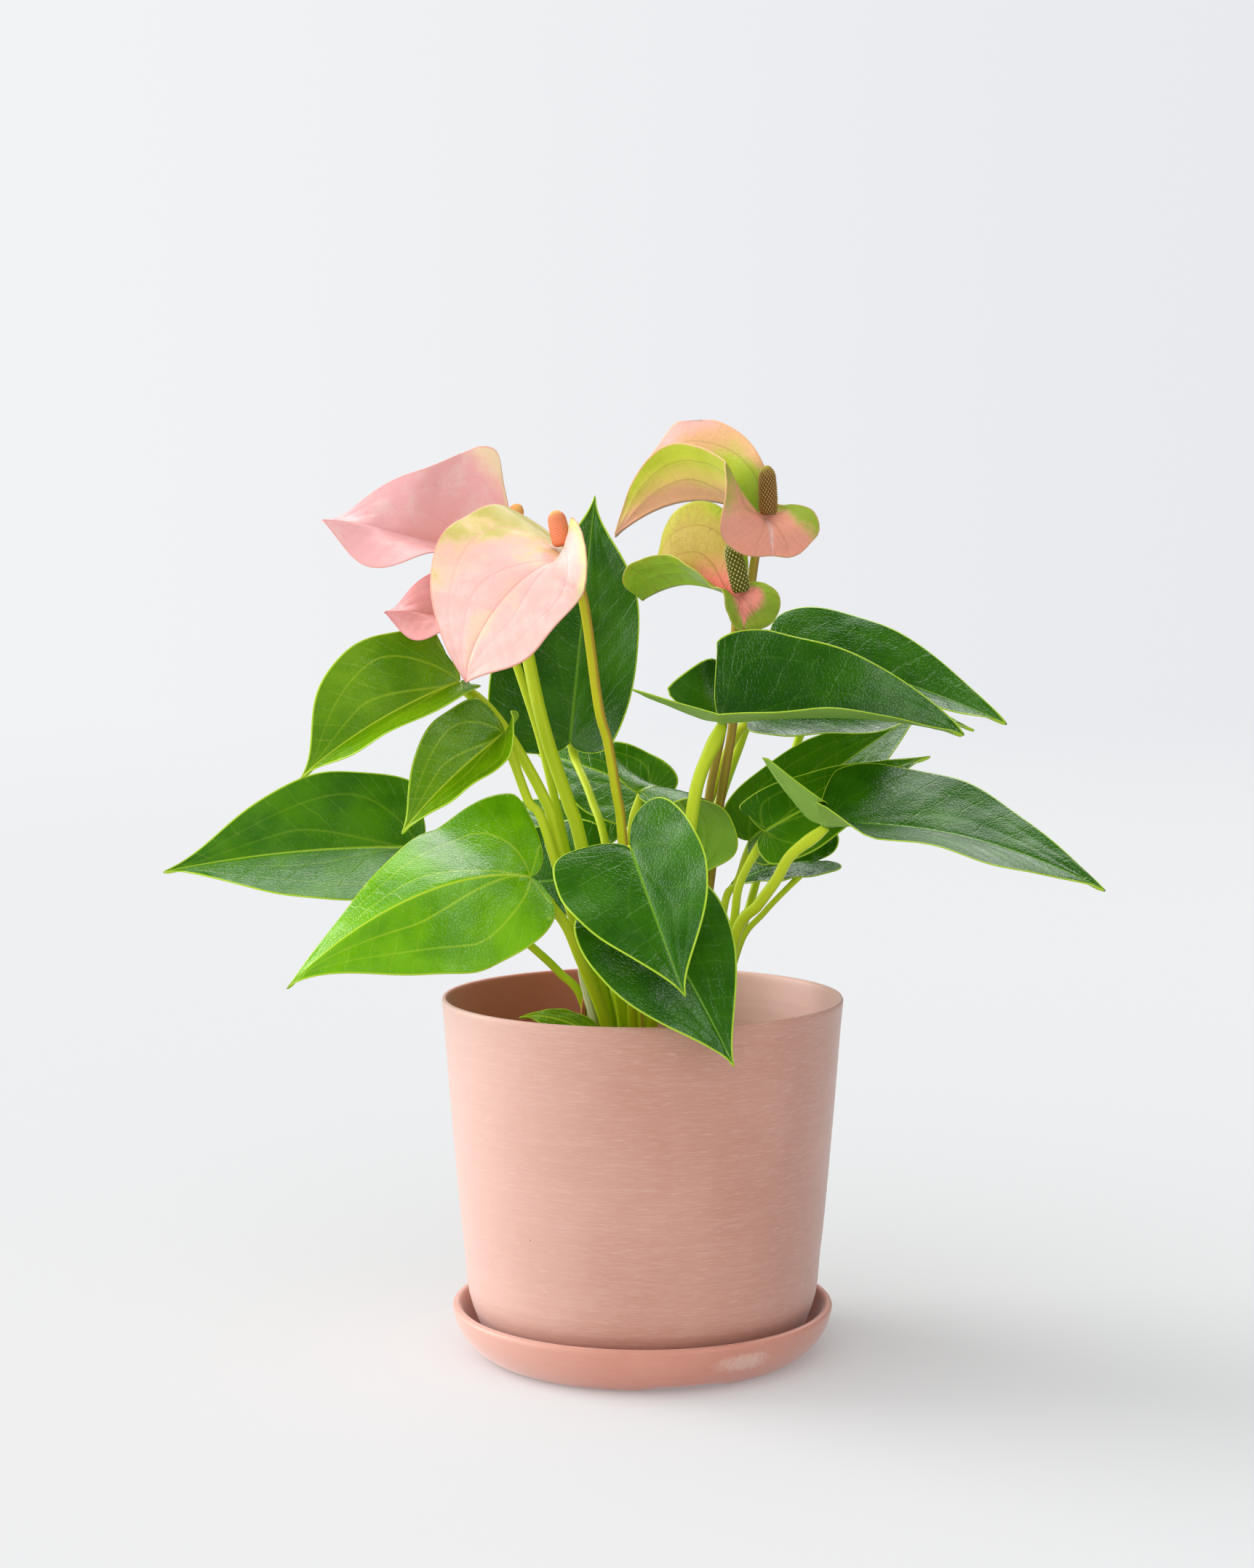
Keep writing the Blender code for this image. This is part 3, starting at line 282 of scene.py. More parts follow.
LEAVES = {
    "leaf_01": leaf(
        "leaf_young",
        Stem((-11, -6), ((-29, -16, 179), (-33, -16, 193), (-44, -14, 213), (-53, -11, 225)), 1.9),
        base=(-63, -8, 234), tip=(-116, -24, 202), face=(-0.10, -0.78, 0.62), half=(27, 26),
        fold=(34, 30), curl=(14, 8), arch=(14, 16), widest=(0.26, 0.40), shoulder=(0.15, 0.45),
        lobe=(0.04, 0.04), lobe_fold=(34, 30), tip_fold=(25, 20), lobe_bend=-30, wave=0.8),
    "leaf_02": leaf(
        "leaf_young", Stem((-14, -11), ((-32, -20, 180), (-39, -20, 194), (-45, -21, 211)), 1.6),
        base=(-47, -22, 217), tip=(-81, -35, 184), face=(-0.10, -0.80, 0.60), half=(19, 18),
        fold=(30, 28), curl=(12, 8), arch=(10, 14), widest=(0.22, 0.28), lobe=(0.16, 0.04),
        lobe_fold=(70, 30), tip_fold=(25, 20), lobe_bend=-20),
    "leaf_03": leaf(
        "leaf_mid",
        Stem((-17, -5), ((-21, -8, 124), (-29, -5, 133), (-38, -2, 141), (-57, 5, 156)), 1.4),
        base=(-79, 12, 175), tip=(-168, 5, 167), face=(0.02, -0.79, 0.62), half=(29, 27.5),
        fold=(20, 22), curl=(0, 4), arch=(10, 10), widest=(0.26, 0.30), lobe=(0.06, 0.05),
        lobe_fold=(20, 22), tip_fold=(20, 20), lobe_bend=-40, belly=(0.34, 0.30)),
    "leaf_04": leaf(
        "leaf_mid", Stem((-10, -16), ((-23, -27, 145), (-31, -29, 159)), 1.8),
        base=(-38, -30, 169), tip=(-118, -50, 134), face=(-0.05, -0.70, 0.72), half=(30, 36),
        fold=(-38, -16), arch=(44, 34), widest=(0.30, 0.17), shoulder=(0.34, 0.5),
        lobe=(0.04, 0.10), lobe_fold=(0, 20), tip_fold=(-30, -20), lobe_bend=-30,
        belly=(0.34, 0.18), taper=(0.10, 0.06), wave=1.0),
    "leaf_05": leaf(
        "leaf_mid", Stem((-4, 3), ((-12, 12, 170), (-18, 24, 191), (-24, 40, 204)), 1.5),
        base=(-26, 37, 211), tip=(-17, 49, 300), face=(0.0, -1.0, 0.12), half=(31, 23),
        fold=(8, 16), curl=(-4, 14), arch=(8, 10), widest=(0.20, 0.40), lobe=(0.07, 0.05),
        lobe_fold=(8, 30), tip_fold=(12, 20), lobe_bend=-20, wave=0.8),
    "leaf_06": leaf(
        "leaf_dark", Stem((-3, -15), ((-5, -36, 150), (-5, -44, 168), (-5, -52, 179)), 1.7),
        base=(-4, -62, 181), tip=(13, -88, 137), face=(-0.22, -0.86, 0.52), half=(23, 27),
        fold=(14, 10), curl=(4, 0), arch=(14, 18), widest=(0.26, 0.14), lobe=(0.26, 0.11),
        lobe_fold=(14, 10), tip_fold=(18, 18), lobe_bend=6),
    "leaf_07": leaf(
        "leaf_dark", Stem((3, -14), ((4, -34, 140), (3, -47, 156)), 1.7),
        base=(1, -57, 160), tip=(29, -78, 113), face=(0.10, -0.88, 0.50), half=(22, 29),
        fold=(10, 12), curl=(0, 6), arch=(18, 12), widest=(0.16, 0.20), lobe=(0.12, 0.14),
        lobe_fold=(10, 12), tip_fold=(14, 14)),
    "leaf_08": leaf(
        "leaf_dark", Stem((11, -4), ((15, -17, 170), (17, -20, 191), (20, -20, 204)), 2.3),
        base=(27, -19.5, 221), tip=(110, -13.5, 216), face=(0.0, -0.66, 0.75), half=(31, 31),
        fold=(34, 48), curl=(-6, 0), arch=(10, 16), widest=(0.20, 0.34), lobe=(0.04, 0.44),
        lobe_fold=(40, 50), tip_fold=(24, 38), lobe_bend=-34, bend_end=0.25, wave=0.8,
        belly=(0.06, 0.20), taper=(0.50, 0.10), point=(0.0, 0.9)),
    "leaf_09": leaf(
        "leaf_mid", Stem((1, -2), ((-5, -5, 160), (-4, -7, 182)), 1.5),
        base=(-1, -6, 196), tip=(19, 20, 160), face=(0.54, 0.38, 0.74), half=(17, 23),
        fold=(0, 4), curl=(0, -10), arch=(75, 60), widest=(0.20, 0.50), lobe=(0.05, 0.08),
        lobe_fold=(52, 0), tip_fold=(0, 0), wave=0.4),
    "leaf_10": leaf(
        "leaf_mid", Stem((-3, 9), ((-3, 25, 150), (0, 36, 176)), 1.6),
        base=(2, 38, 192), tip=(-39, 63, 205), face=(0.10, -0.86, 0.50), half=(19, 14),
        fold=(8, 10), curl=(0, 8), arch=(14, 14), widest=(0.20, 0.20), lobe=(0.08, 0.16),
        lobe_fold=(8, 10), wave=0.5),
    "leaf_11": leaf(
        "leaf_dark", Stem((18, 15), ((24, 40, 170), (37, 52, 212)), 1.8),
        base=(47, 40, 240), tip=(130, 24, 218), face=(0.10, -0.66, 0.74), half=(24.5, 26),
        fold=(20, 30), curl=(-10, -8), arch=(16, 12), widest=(0.20, 0.20), lobe=(0.04, 0.04),
        lobe_fold=(20, 26), tip_fold=(10, 10), belly=(0.20, 0.34), taper=(0.42, 0.10), wave=0.8),
    "leaf_12": leaf(
        "leaf_dark", Stem((10, 8), ((18, 31, 165), (26, 31, 195), (33, 25, 213)), 1.7),
        base=(39, 14, 222), tip=(104, 16, 221), face=(-0.05, -0.50, 0.86), half=(27, 29),
        fold=(-16, 14), arch=(10, 10), widest=(0.10, 0.42), lobe=(0.48, 0.04), point=(0.4, 0.0),
        lobe_fold=(46, 14), blend=(-0.30, 0.04), tip_fold=(-22, 15), lobe_bend=-20),
    "leaf_13": leaf(
        "leaf_dark",
        Stem((26, -4), ((32, -6, 145), (40, -9, 157), (46, -12, 166), (51, -15, 175)), 2.0),
        base=(62, -20, 186), tip=(155, -35, 165), face=(0.12, -0.52, 0.84), half=(29, 25),
        fold=(8, 22), curl=(4, 0), arch=(18, 16), widest=(0.24, 0.48), lobe=(0.04, 0.36),
        lobe_fold=(14, 74), tip_fold=(8, 6), lobe_bend=-62, bend_end=0.25, belly=(0.24, 0.22),
        taper=(0.32, 0.10), point=(0.0, 0.9), wave=0.8),
    "leaf_14": leaf(
        "leaf_mid", Stem((23, 11), ((29, 18, 152), (34, 24, 161)), 1.4),
        base=(39, 30, 176), tip=(105, 58, 222), face=(-0.20, -0.86, 0.46), half=(17.5, 21),
        fold=(10, 20), curl=(0, 10), arch=(10, 12), widest=(0.24, 0.24), lobe=(0.04, 0.06),
        lobe_fold=(10, 20), wave=0.8),
    "leaf_15": leaf(
        "leaf_mid", Stem((20, -1), ((31, -1, 146), (34, -2, 164)), 1.5),
        base=(43, 1, 182), tip=(102, 18, 207), face=(0.0, -0.63, 0.77), half=(15, 16.5),
        fold=(6, -4), curl=(4, -6), arch=(8, 8), widest=(0.10, 0.14), lobe=(0.03, 0.10),
        lobe_fold=(6, -4)),
    "leaf_16": leaf(
        "leaf_dark", Stem((26, 3), ((34, 14, 138), (44, 22, 151)), 1.1),
        base=(61, 32, 168), tip=(31, 48, 156), face=(-0.10, -0.62, 0.78), half=(11, 16),
        fold=(10, 10), arch=(20, 16), lobe=(0.32, 0.26), wave=0.4),
    "leaf_17": leaf(
        "leaf_dark", Stem((-15, 2), ((-17, 9, 135),), 1.4),
        base=(-23, 18, 163), tip=(-72, 46, 152), face=(0.10, -0.86, 0.50), half=(17, 22),
        fold=(10, 10), arch=(12, 14), lobe=(0.20, 0.20), wave=0.5),
    "leaf_18": leaf(
        "leaf_mid", Stem((-10, 6), ((-11, 26, 140),), 1.4),
        base=(-13, 37, 174), tip=(-53, 68, 186), face=(0.10, -0.80, 0.60), half=(15, 12),
        fold=(10, 10), arch=(12, 14), lobe=(0.20, 0.06), wave=0.5),
    "leaf_19": leaf(
        "leaf_young", Stem((-8, -21.5), ((-10, -23, 107),), 1.1),
        base=(-16, -28, 115), tip=(-41, -42, 123.5), face=(0.0, -0.45, 0.90), half=(12, 8),
        fold=(-25, 8), arch=(10, 20), lobe=(0.06, 0.06), lobe_fold=(-15, 8),
        tip_fold=(-10, 8), wave=0.3),
    "leaf_20": leaf(
        "leaf_dark", Stem((24, 17), ((40, 45, 152), (52, 68, 190)), 1.5),
        base=(62, 82, 218), tip=(129, 104, 212), face=(0.0, -0.30, 0.95), half=(24, 24),
        fold=(12, 12), curl=(-8, -8), arch=(14, 12)),
}


@dataclass
class Spadix:
    """The spike of the bloom: the way it points, its length and its greatest radius.

    foot is where it stands: millimetres above the midrib's line, behind the blade's base
    and to the left of it.
    """
    axis: tuple
    length: float
    radius: float
    colour: str
    foot: tuple = (2.5, 0.0, 0.0)


def bloom(colour, stem_colour, stem, spadix, **shape):
    """One bloom: the colours and stem, the spadix and the spathe's blade."""
    return colour, stem_colour, stem, spadix, Blade(**shape)


BLOOMS = {
    "bloom_1": bloom(
        "spathe_pink", "stem_green",
        Stem((-5, -3), ((-21, -9, 177), (-25, -10, 191), (-33, -10, 215), (-39, -4, 240)), 2.3),
        Spadix((0.40, -0.55, 0.80), 14, 3.0, "spadix_orange", (3.1, 0.0, 0.0)),
        base=(-47, 3, 282), tip=(-108, -22, 289), face=(0.37, -0.71, 0.60), half=(22.5, 34),
        fold=(38, 35), arch=(-32, 8), widest=(0.50, 0.10), lobe=(0.06, 0.05),
        lobe_fold=(40, 35), tip_fold=(-20, -52), belly=(0.36, 0.27), taper=(0.75, 0.34)),
    "bloom_2": bloom(
        "spathe_pink", "stem_green",
        Stem((-9.5, 0), ((-26, -3, 173), (-30, -2, 191), (-34, 0, 208), (-38, 2, 222)), 1.5),
        Spadix((0.28, -0.56, 0.80), 10, 2.4, "spadix_orange", (2.4, 0.0, 0.0)),
        base=(-49, 3, 256), tip=(-88, -14, 258), face=(0.34, -0.62, 0.70), half=(14.5, 20),
        fold=(34, 30), arch=(-20, 10), widest=(0.45, 0.22), lobe=(0.06, 0.05),
        lobe_fold=(30, 30), tip_fold=(-35, -45), belly=(0.40, 0.32), taper=(0.80, 0.50)),
    "bloom_3": bloom(
        "spathe_pink", "stem_green",
        Stem((-1, -8), ((-7, -13, 181), (-9, -15, 196), (-12, -18, 214), (-15, -23, 226),
                        (-20, -33, 262)), 1.7),
        Spadix((-0.22, 0.10, 1.0), 12, 3.3, "spadix_orange", (3.6, 1.0, -4.8)),
        base=(-25, -37, 275), tip=(-58, -55, 235), face=(-0.30, -0.75, 0.58), half=(23, 36),
        fold=(-4, 8), arch=(55, 58), widest=(0.50, 0.20), shoulder=(0.25, 0.5), lobe=(0.04, 0.15),
        lobe_fold=(104, 12), tip_fold=(0, 14), belly=(0.34, 0.42), taper=(0.60, 0.26),
        blend=(0.0, 0.24)),
    "bloom_4": bloom(
        "spathe_green", "stem_olive",
        Stem((17, 9), ((25, 29, 165), (28, 27, 190), (31.5, 9, 217), (38, 8, 268)), 1.6),
        Spadix((-0.04, 0.02, 1.0), 17, 3.1, "spadix_brown", (2.5, 3.0, 0.6)),
        base=(41, -1, 290), tip=(-10, 50, 285), face=(0.0, 0.0, 1.0), half=(28, 28),
        arch=(28, 26), lobe=(0.10, 0.10), lobe_bend=60,
        lobes=(((-0.10, 0.3), (-0.195, 1), (-0.20, 9), (-0.19, 16), (-0.155, 22), (-0.105, 27),
                (-0.06, 31), (-0.02, 32)),
               ((-0.10, 0.3), (-0.195, 1), (-0.20, 9), (-0.18, 14), (-0.135, 18.5), (-0.09, 21),
                (-0.05, 20), (-0.02, 15))),
        sides=(((0.02, 31), (0.06, 28.5), (0.12, 26.5), (0.24, 26), (0.40, 24), (0.55, 19.5),
                (0.70, 13.5), (0.85, 6.5)),
               ((0.01, 8), (0.05, 11), (0.10, 17), (0.20, 23.5), (0.36, 27.5), (0.50, 28.5),
                (0.62, 21.5), (0.80, 11))),
        folds=(((-0.12, 2), (-0.06, 12), (0.0, 36), (0.05, 38), (0.12, 42), (0.22, 48), (0.35, 52),
                (0.75, 54), (0.87, 62), (1.0, 62)),
               ((-0.14, 4), (-0.08, 12), (-0.05, 19), (-0.02, 22), (0.01, 38), (0.05, 72),
                (0.10, 84), (0.28, 86), (0.5, 93), (0.7, 90), (0.85, 85), (1.0, 80)))),
    "bloom_5": bloom(
        "spathe_green", "stem_olive",
        Stem((14, 3), ((21, 26, 165), (24, 24, 193), (28, 4, 218), (32, 2, 250)), 1.5),
        Spadix((-0.22, 0.02, 1.0), 18, 3.15, "spadix_brown", (2.5, 3.0, 0.7)),
        base=(32, -7, 263), tip=(0, 30, 262), face=(0.0, 0.0, 1.0), half=(16, 28),
        arch=(18, 22), lobe=(0.12, 0.12), lobe_bend=70,
        lobes=(((-0.14, 0.3), (-0.25, 1), (-0.255, 2.6), (-0.235, 4.8), (-0.20, 6.4), (-0.14, 8),
                (-0.08, 10), (-0.035, 11.4)),
               ((-0.14, 0.3), (-0.25, 1.5), (-0.255, 5.5), (-0.235, 10.5), (-0.20, 13.5),
                (-0.14, 15.3), (-0.08, 15), (-0.03, 11))),
        sides=(((0.01, 10.5), (0.06, 11), (0.12, 13.2), (0.25, 15.5), (0.50, 13.5), (0.70, 15),
                (0.83, 14.6), (0.93, 11.5)),
               ((0.005, 6), (0.03, 11), (0.08, 17), (0.16, 24), (0.30, 28.6), (0.48, 27.5),
                (0.66, 21), (0.83, 13))),
        folds=(((-0.10, 4), (-0.035, 30), (0.01, 14), (0.06, 16), (0.12, 24), (0.25, 32), (0.5, 48),
                (0.7, 45), (0.82, 41), (0.93, 27), (1.0, 20)),
               ((-0.15, 3), (-0.10, 10), (-0.05, 24), (-0.03, 33), (-0.01, 42), (0.005, 62),
                (0.06, 75), (0.12, 80), (0.2, 85), (0.3, 92), (0.42, 98), (0.55, 99), (0.7, 90),
                (0.85, 73), (1.0, 65)))),
}

# New shoot and dry sheaths: the slot, the stem, the depth of its seam
SHOOTS = {
    "new_shoot": ("stem_green", Stem((-16, -16.5), ((-17, -17, 118), (-22, -20, 136)), 1.9), 0.22),
    "dry_sheath": ("sheath", Stem((9, -11), ((9, -12, 108), (8, -13, 120)), 1.8), 0.35),
    "sheath_scrap": (
        "sheath", Stem((-20.5, -15.5), ((-20.5, -16.5, 114), (-20, -17.5, 127)), 1.7), 0.40),
}


def unit(vector):
    """The vector, or each row of an array of vectors, at length 1."""
    vector = np.asarray(vector, float)
    return vector / np.maximum(np.linalg.norm(vector, axis=-1, keepdims=True), 1e-12)


def smoothstep(low, high, value):
    """A smooth rise from 0 at low to 1 at high."""
    part = np.clip((value - low) / (high - low), 0.0, 1.0)
    return part * part * (3.0 - 2.0 * part)


def cubic(p0, p1, p2, p3, part):
    """Points of a cubic curve with two ends and two handles, one for each part."""
    part = np.asarray(part, float)[..., None]
    rest = 1.0 - part
    p0, p1, p2, p3 = (np.asarray(p, float) for p in (p0, p1, p2, p3))
    return rest ** 3 * p0 + 3 * rest ** 2 * part * p1 + 3 * rest * part ** 2 * p2 + part ** 3 * p3


def smooth_line(knots, steps, start=None, end=None):
    """A smooth curve through the knots, steps points to each span, with given end slopes."""
    knots = np.asarray(knots, float)
    runs = np.maximum(np.linalg.norm(np.diff(knots, axis=0), axis=1), 1e-6)
    rates = np.diff(knots, axis=0) / runs[:, None]
    slopes = np.empty_like(knots)
    slopes[0] = rates[0] if start is None else start
    slopes[-1] = rates[-1] if end is None else end
    shares = runs[:-1] / (runs[:-1] + runs[1:])
    slopes[1:-1] = rates[:-1] * (1.0 - shares[:, None]) + rates[1:] * shares[:, None]
    part = np.linspace(0.0, 1.0, steps, endpoint=False)
    spans = [cubic(a, a + s * run / 3.0, b - t * run / 3.0, b, part)
             for a, b, s, t, run in zip(knots, knots[1:], slopes, slopes[1:], runs)]
    return np.vstack([*spans, knots[-1:]])


def lengths_along(line):
    """How far along a line each of its points lies."""
    return np.concatenate([[0.0], np.cumsum(np.linalg.norm(np.diff(line, axis=0), axis=1))])


def resample(line, shares):
    """Points of a line at shares of its length."""
    run = lengths_along(line)
    return np.stack([np.interp(np.asarray(shares) * run[-1], run, line[:, axis])
                     for axis in range(line.shape[1])], axis=1)


class Surface:
    """Carries flat blade coordinates (part of the length, millimetres across) to space."""

    def __init__(self, blade):
        self.blade = blade
        base = np.asarray(blade.base, float)
        chord = np.asarray(blade.tip, float) - base
        reach = np.linalg.norm(chord)
        along = chord / reach
        face = np.asarray(blade.face, float)
        up = unit(face - along * np.dot(face, along))
        self.side = np.cross(up, along)
        rise, fall = (math.radians(angle) for angle in blade.arch)
        handle = MIDRIB_HANDLE * reach
        first = base + handle * (math.cos(rise) * along + math.sin(rise) * up)
        last = base + chord - handle * (math.cos(fall) * along - math.sin(fall) * up)
        steps = np.linspace(0.0, 1.0, 2 * CURVE_STEPS)
        self.spine = cubic(base, first, last, base + chord, steps)
        tangents = np.gradient(self.spine, axis=0)
        tangents[0] = first - base
        tangents[-1] = base + chord - last
        self.tangents = unit(tangents)
        run = lengths_along(self.spine)
        self.length = run[-1]
        self.along = run / run[-1]

    def frame(self, x):
        """Position and normal on the midrib line for an array of x, in blade lengths."""
        blade = self.blade
        place, tangent = (
            np.stack([np.interp(x, self.along, values[:, axis]) for axis in range(3)], axis=-1)
            for values in (self.spine, self.tangents))
        tangent = unit(tangent)
        normal = np.cross(tangent, self.side)
        behind = np.clip(-x, 0.0, None)
        reach = blade.bend_end * max(blade.lobe)
        bent = np.minimum(behind, reach)
        bend = math.radians(blade.lobe_bend) * bent / reach
        back = bent * self.length
        straight = (behind - bent) * self.length
        ahead = back * np.sinc(bend / math.pi) + straight * np.cos(bend)
        down = back * bend / 2.0 * np.sinc(bend / (2.0 * math.pi)) ** 2 + straight * np.sin(bend)
        place = place - tangent * ahead[..., None] - normal * down[..., None]
        normal = np.cos(bend)[..., None] * normal - np.sin(bend)[..., None] * tangent
        return place, normal

    def fold_at(self, x, half):
        """How far a half rises from level at places of the midrib, in degrees."""
        blade = self.blade
        if blade.folds:
            places, angles = zip(*blade.folds[half])
            return np.mean([np.interp(x + step, places, angles) for step in FOLD_REACH], axis=0)
        fold = blade.lobe_fold[half]
        fold = fold + (blade.fold[half] - fold) * smoothstep(*blade.blend, x)
        return fold + (blade.tip_fold[half] - fold) * smoothstep(*TIP_BLEND, x)

    def point(self, x, y, half):
        """Points of one half: x in blade lengths from the base, y millimetres outward."""
        blade = self.blade
        place, normal = self.frame(x)
        fold = np.radians(self.fold_at(x, half))
        width = blade.half[half]
        curl = math.radians(blade.curl[half]) / width
        if abs(curl) > 1e-5:
            out = (np.sin(fold + curl * y) - np.sin(fold)) / curl
            rise = (np.cos(fold) - np.cos(fold + curl * y)) / curl
        else:
            out = y * np.cos(fold)
            rise = y * np.sin(fold)
        share = np.minimum(1.0, y / width)
        turns = 2.0 * math.pi * MARGIN_WAVES * x + 2.0 * half
        rise = rise + blade.wave * share ** 2 * np.sin(turns)
        sign = 1.0 if half == 0 else -1.0
        return place + sign * out[..., None] * self.side + rise[..., None] * normal


def rib_place(margin_x, widest):
    """Where on the midrib the vein starts that ends at this place of the margin."""
    start = widest - RIB_LEAD
    return np.maximum(0.0, (margin_x - start) / (1.0 - start)) ** RIB_BEND


def half_margin(blade, half, length):
    """Rows of one half as (margin x, margin y, rib x): lobe rows first, then side rows.

    The lobes of a blade with its margin point by point are joined behind its base, so
    their rows start along the midrib's line there.
    """
    flat = (length, 1.0)
    skip = 1 if blade.lobes else 0
    if blade.lobes:
        back = blade.lobes[half][1][0]
        knots = [(back, 0.0), *blade.lobes[half][2:], *blade.sides[half], (1.0, 0.0)]
        line = smooth_line(np.array(knots) * flat, KNOT_STEPS, start=(0.0, 1.0)) / flat
        turn = KNOT_STEPS * (len(blade.lobes[half]) - 2)
        lobe, side = line[:turn + 1], line[turn:]
        widest = 0.0
    else:
        back = 0.0
        widest = blade.widest[half]
        lobe = blade.lobe[half]
        point = blade.point[half]
        shoulder = blade.shoulder[half] * (1.0 - 0.85 * point)
        reach = lobe * (1.0 - 0.4 * point)
        outer = 0.72 * shoulder + 0.5 * (1.0 - 0.6 * point)
        steps = np.linspace(0.0, 1.0, CURVE_STEPS)
        inner = cubic((0.0, 0.0), (-0.30 * lobe, 0.02), (-lobe, 0.20 * shoulder),
                      (-lobe, shoulder), steps)
        behind = cubic((-lobe, shoulder), (-reach, outer), (widest - 0.22, 1.0),
                       (widest, 1.0), steps)
        side = cubic((widest, 1.0), (widest + blade.belly[half], 1.0),
                     (0.80, blade.taper[half]), (1.0, 0.0), steps)
        lobe = np.vstack([inner[SINUS_START:], behind[1:]]) * (1.0, blade.half[half])
        side = side * (1.0, blade.half[half])
    shares = np.linspace(0.0, 1.0, LOBE_ROWS + skip, endpoint=False)[skip:]
    lobe = resample(lobe * flat, shares) / flat
    places = np.linspace(0.0, 1.0, SIDE_ROWS, endpoint=False) ** ROW_CROWDING
    side = resample(side * flat, places) / flat
    ribs = np.concatenate([back * (1.0 - shares) ** 3, rib_place(side[:, 0], widest)])
    return np.column_stack([np.vstack([lobe, side]), ribs])


def distance_to(points, line):
    """The distance of each point from a line of points, all flat."""
    starts, runs = line[:-1], np.diff(line, axis=0)
    squares = np.maximum((runs ** 2).sum(axis=1), 1e-9)
    from_start = points[..., None, :] - starts
    part = np.clip((from_start * runs).sum(axis=-1) / squares, 0.0, 1.0)
    return np.linalg.norm(from_start - part[..., None] * runs, axis=-1).min(axis=-1)


def vein_fields(rows, length):
    """What each grid point of a half knows of the veins and its place, for the material."""
    shares = np.concatenate([[0.0], COLUMNS])
    order = np.concatenate([np.linspace(-1.0, 0.0, LOBE_ROWS, endpoint=False),
                            np.linspace(0.0, 1.0, SIDE_ROWS, endpoint=False)])
    margin_x, margin_y, ribs = rows.T
    flat_x = ribs[:, None] + (margin_x - ribs)[:, None] * shares
    flat_y = margin_y[:, None] * shares
    flat = np.stack([flat_x * length, flat_y], axis=-1)
    thin = 1.0 - MIDRIB_THINS * np.clip(flat_x, 0.0, 1.0)
    fields = {"midrib": np.hypot(flat_y, np.minimum(flat_x, 0.0) * length) / thin}
    for name, (leave, over, keep) in zip(("inner", "outer"), CURVED_VEINS):
        place = keep * smoothstep(leave, leave + over, order)
        place = place * (1.0 - VEINS_CLOSE * smoothstep(VEINS_CLOSE_FROM, 1.0, order))
        first = max(0, int(np.argmax(place > 0.0)) - 1)
        line = flat[:, 0] * (1.0 - place[:, None]) + flat[:, -1] * place[:, None]
        line = np.vstack([[0.0, 0.0], line[first:]])
        fields[name] = distance_to(flat, line) * np.sign(shares - place[:, None]) / thin
    row = int(np.argmin(np.abs(order - LOBE_VEIN_ROW)))
    line = flat[row, -1] * np.linspace(0.0, LOBE_VEIN_END, LOBE_VEIN_STEPS)[:, None]
    fields["lobe"] = distance_to(flat, line) * np.sign(order - order[row] + 1e-6)[:, None]
    fields["lateral"] = np.broadcast_to((order * LATERALS)[:, None], flat_x.shape)
    apart = np.linalg.norm(np.gradient(flat, axis=0), axis=-1)
    fields["spacing"] = apart / np.gradient(order * LATERALS)[:, None]
    reach = np.linalg.norm(flat[:, -1] - flat[:, 0], axis=-1)
    fields["edge"] = (1.0 - shares) * reach[:, None]
    fields["along"] = flat_x
    fields["share"] = np.broadcast_to(shares, flat_x.shape)
    return flat_x, flat_y, fields


def ridges(fields, veins):
    """The sum of rounded ridges on veins, each a field, a width and a height."""
    return sum(height * np.exp(-(fields[name] / width) ** 2) for name, width, height in veins)


def relief(fields, half, seed):
    """Height of the upper face: grooves at the veins, low swells between them."""
    inside = 4.0 * fields["share"] * (1.0 - fields["share"])
    swell = SIDE_SWELL * inside * np.cos(2.0 * math.pi * fields["lateral"])
    for height, along, across, shift, other in LONG_SWELLS:
        turns = along * fields["along"] + across * fields["share"] + shift * seed + other * half
        swell = swell + height * np.sin(turns)
    return swell * fields["share"] - GROOVE_DEPTH * ridges(fields, GROOVES)


def vertex_normals(points, faces):
    """Area-weighted normals of a mesh of triangles and quads with a doubled corner."""
    normals = np.zeros_like(points)
    corners = points[faces]
    crossed = np.cross(corners[:, 2] - corners[:, 0], corners[:, 3] - corners[:, 1])
    for corner in range(4):
        np.add.at(normals, faces[:, corner], crossed)
    return unit(normals)


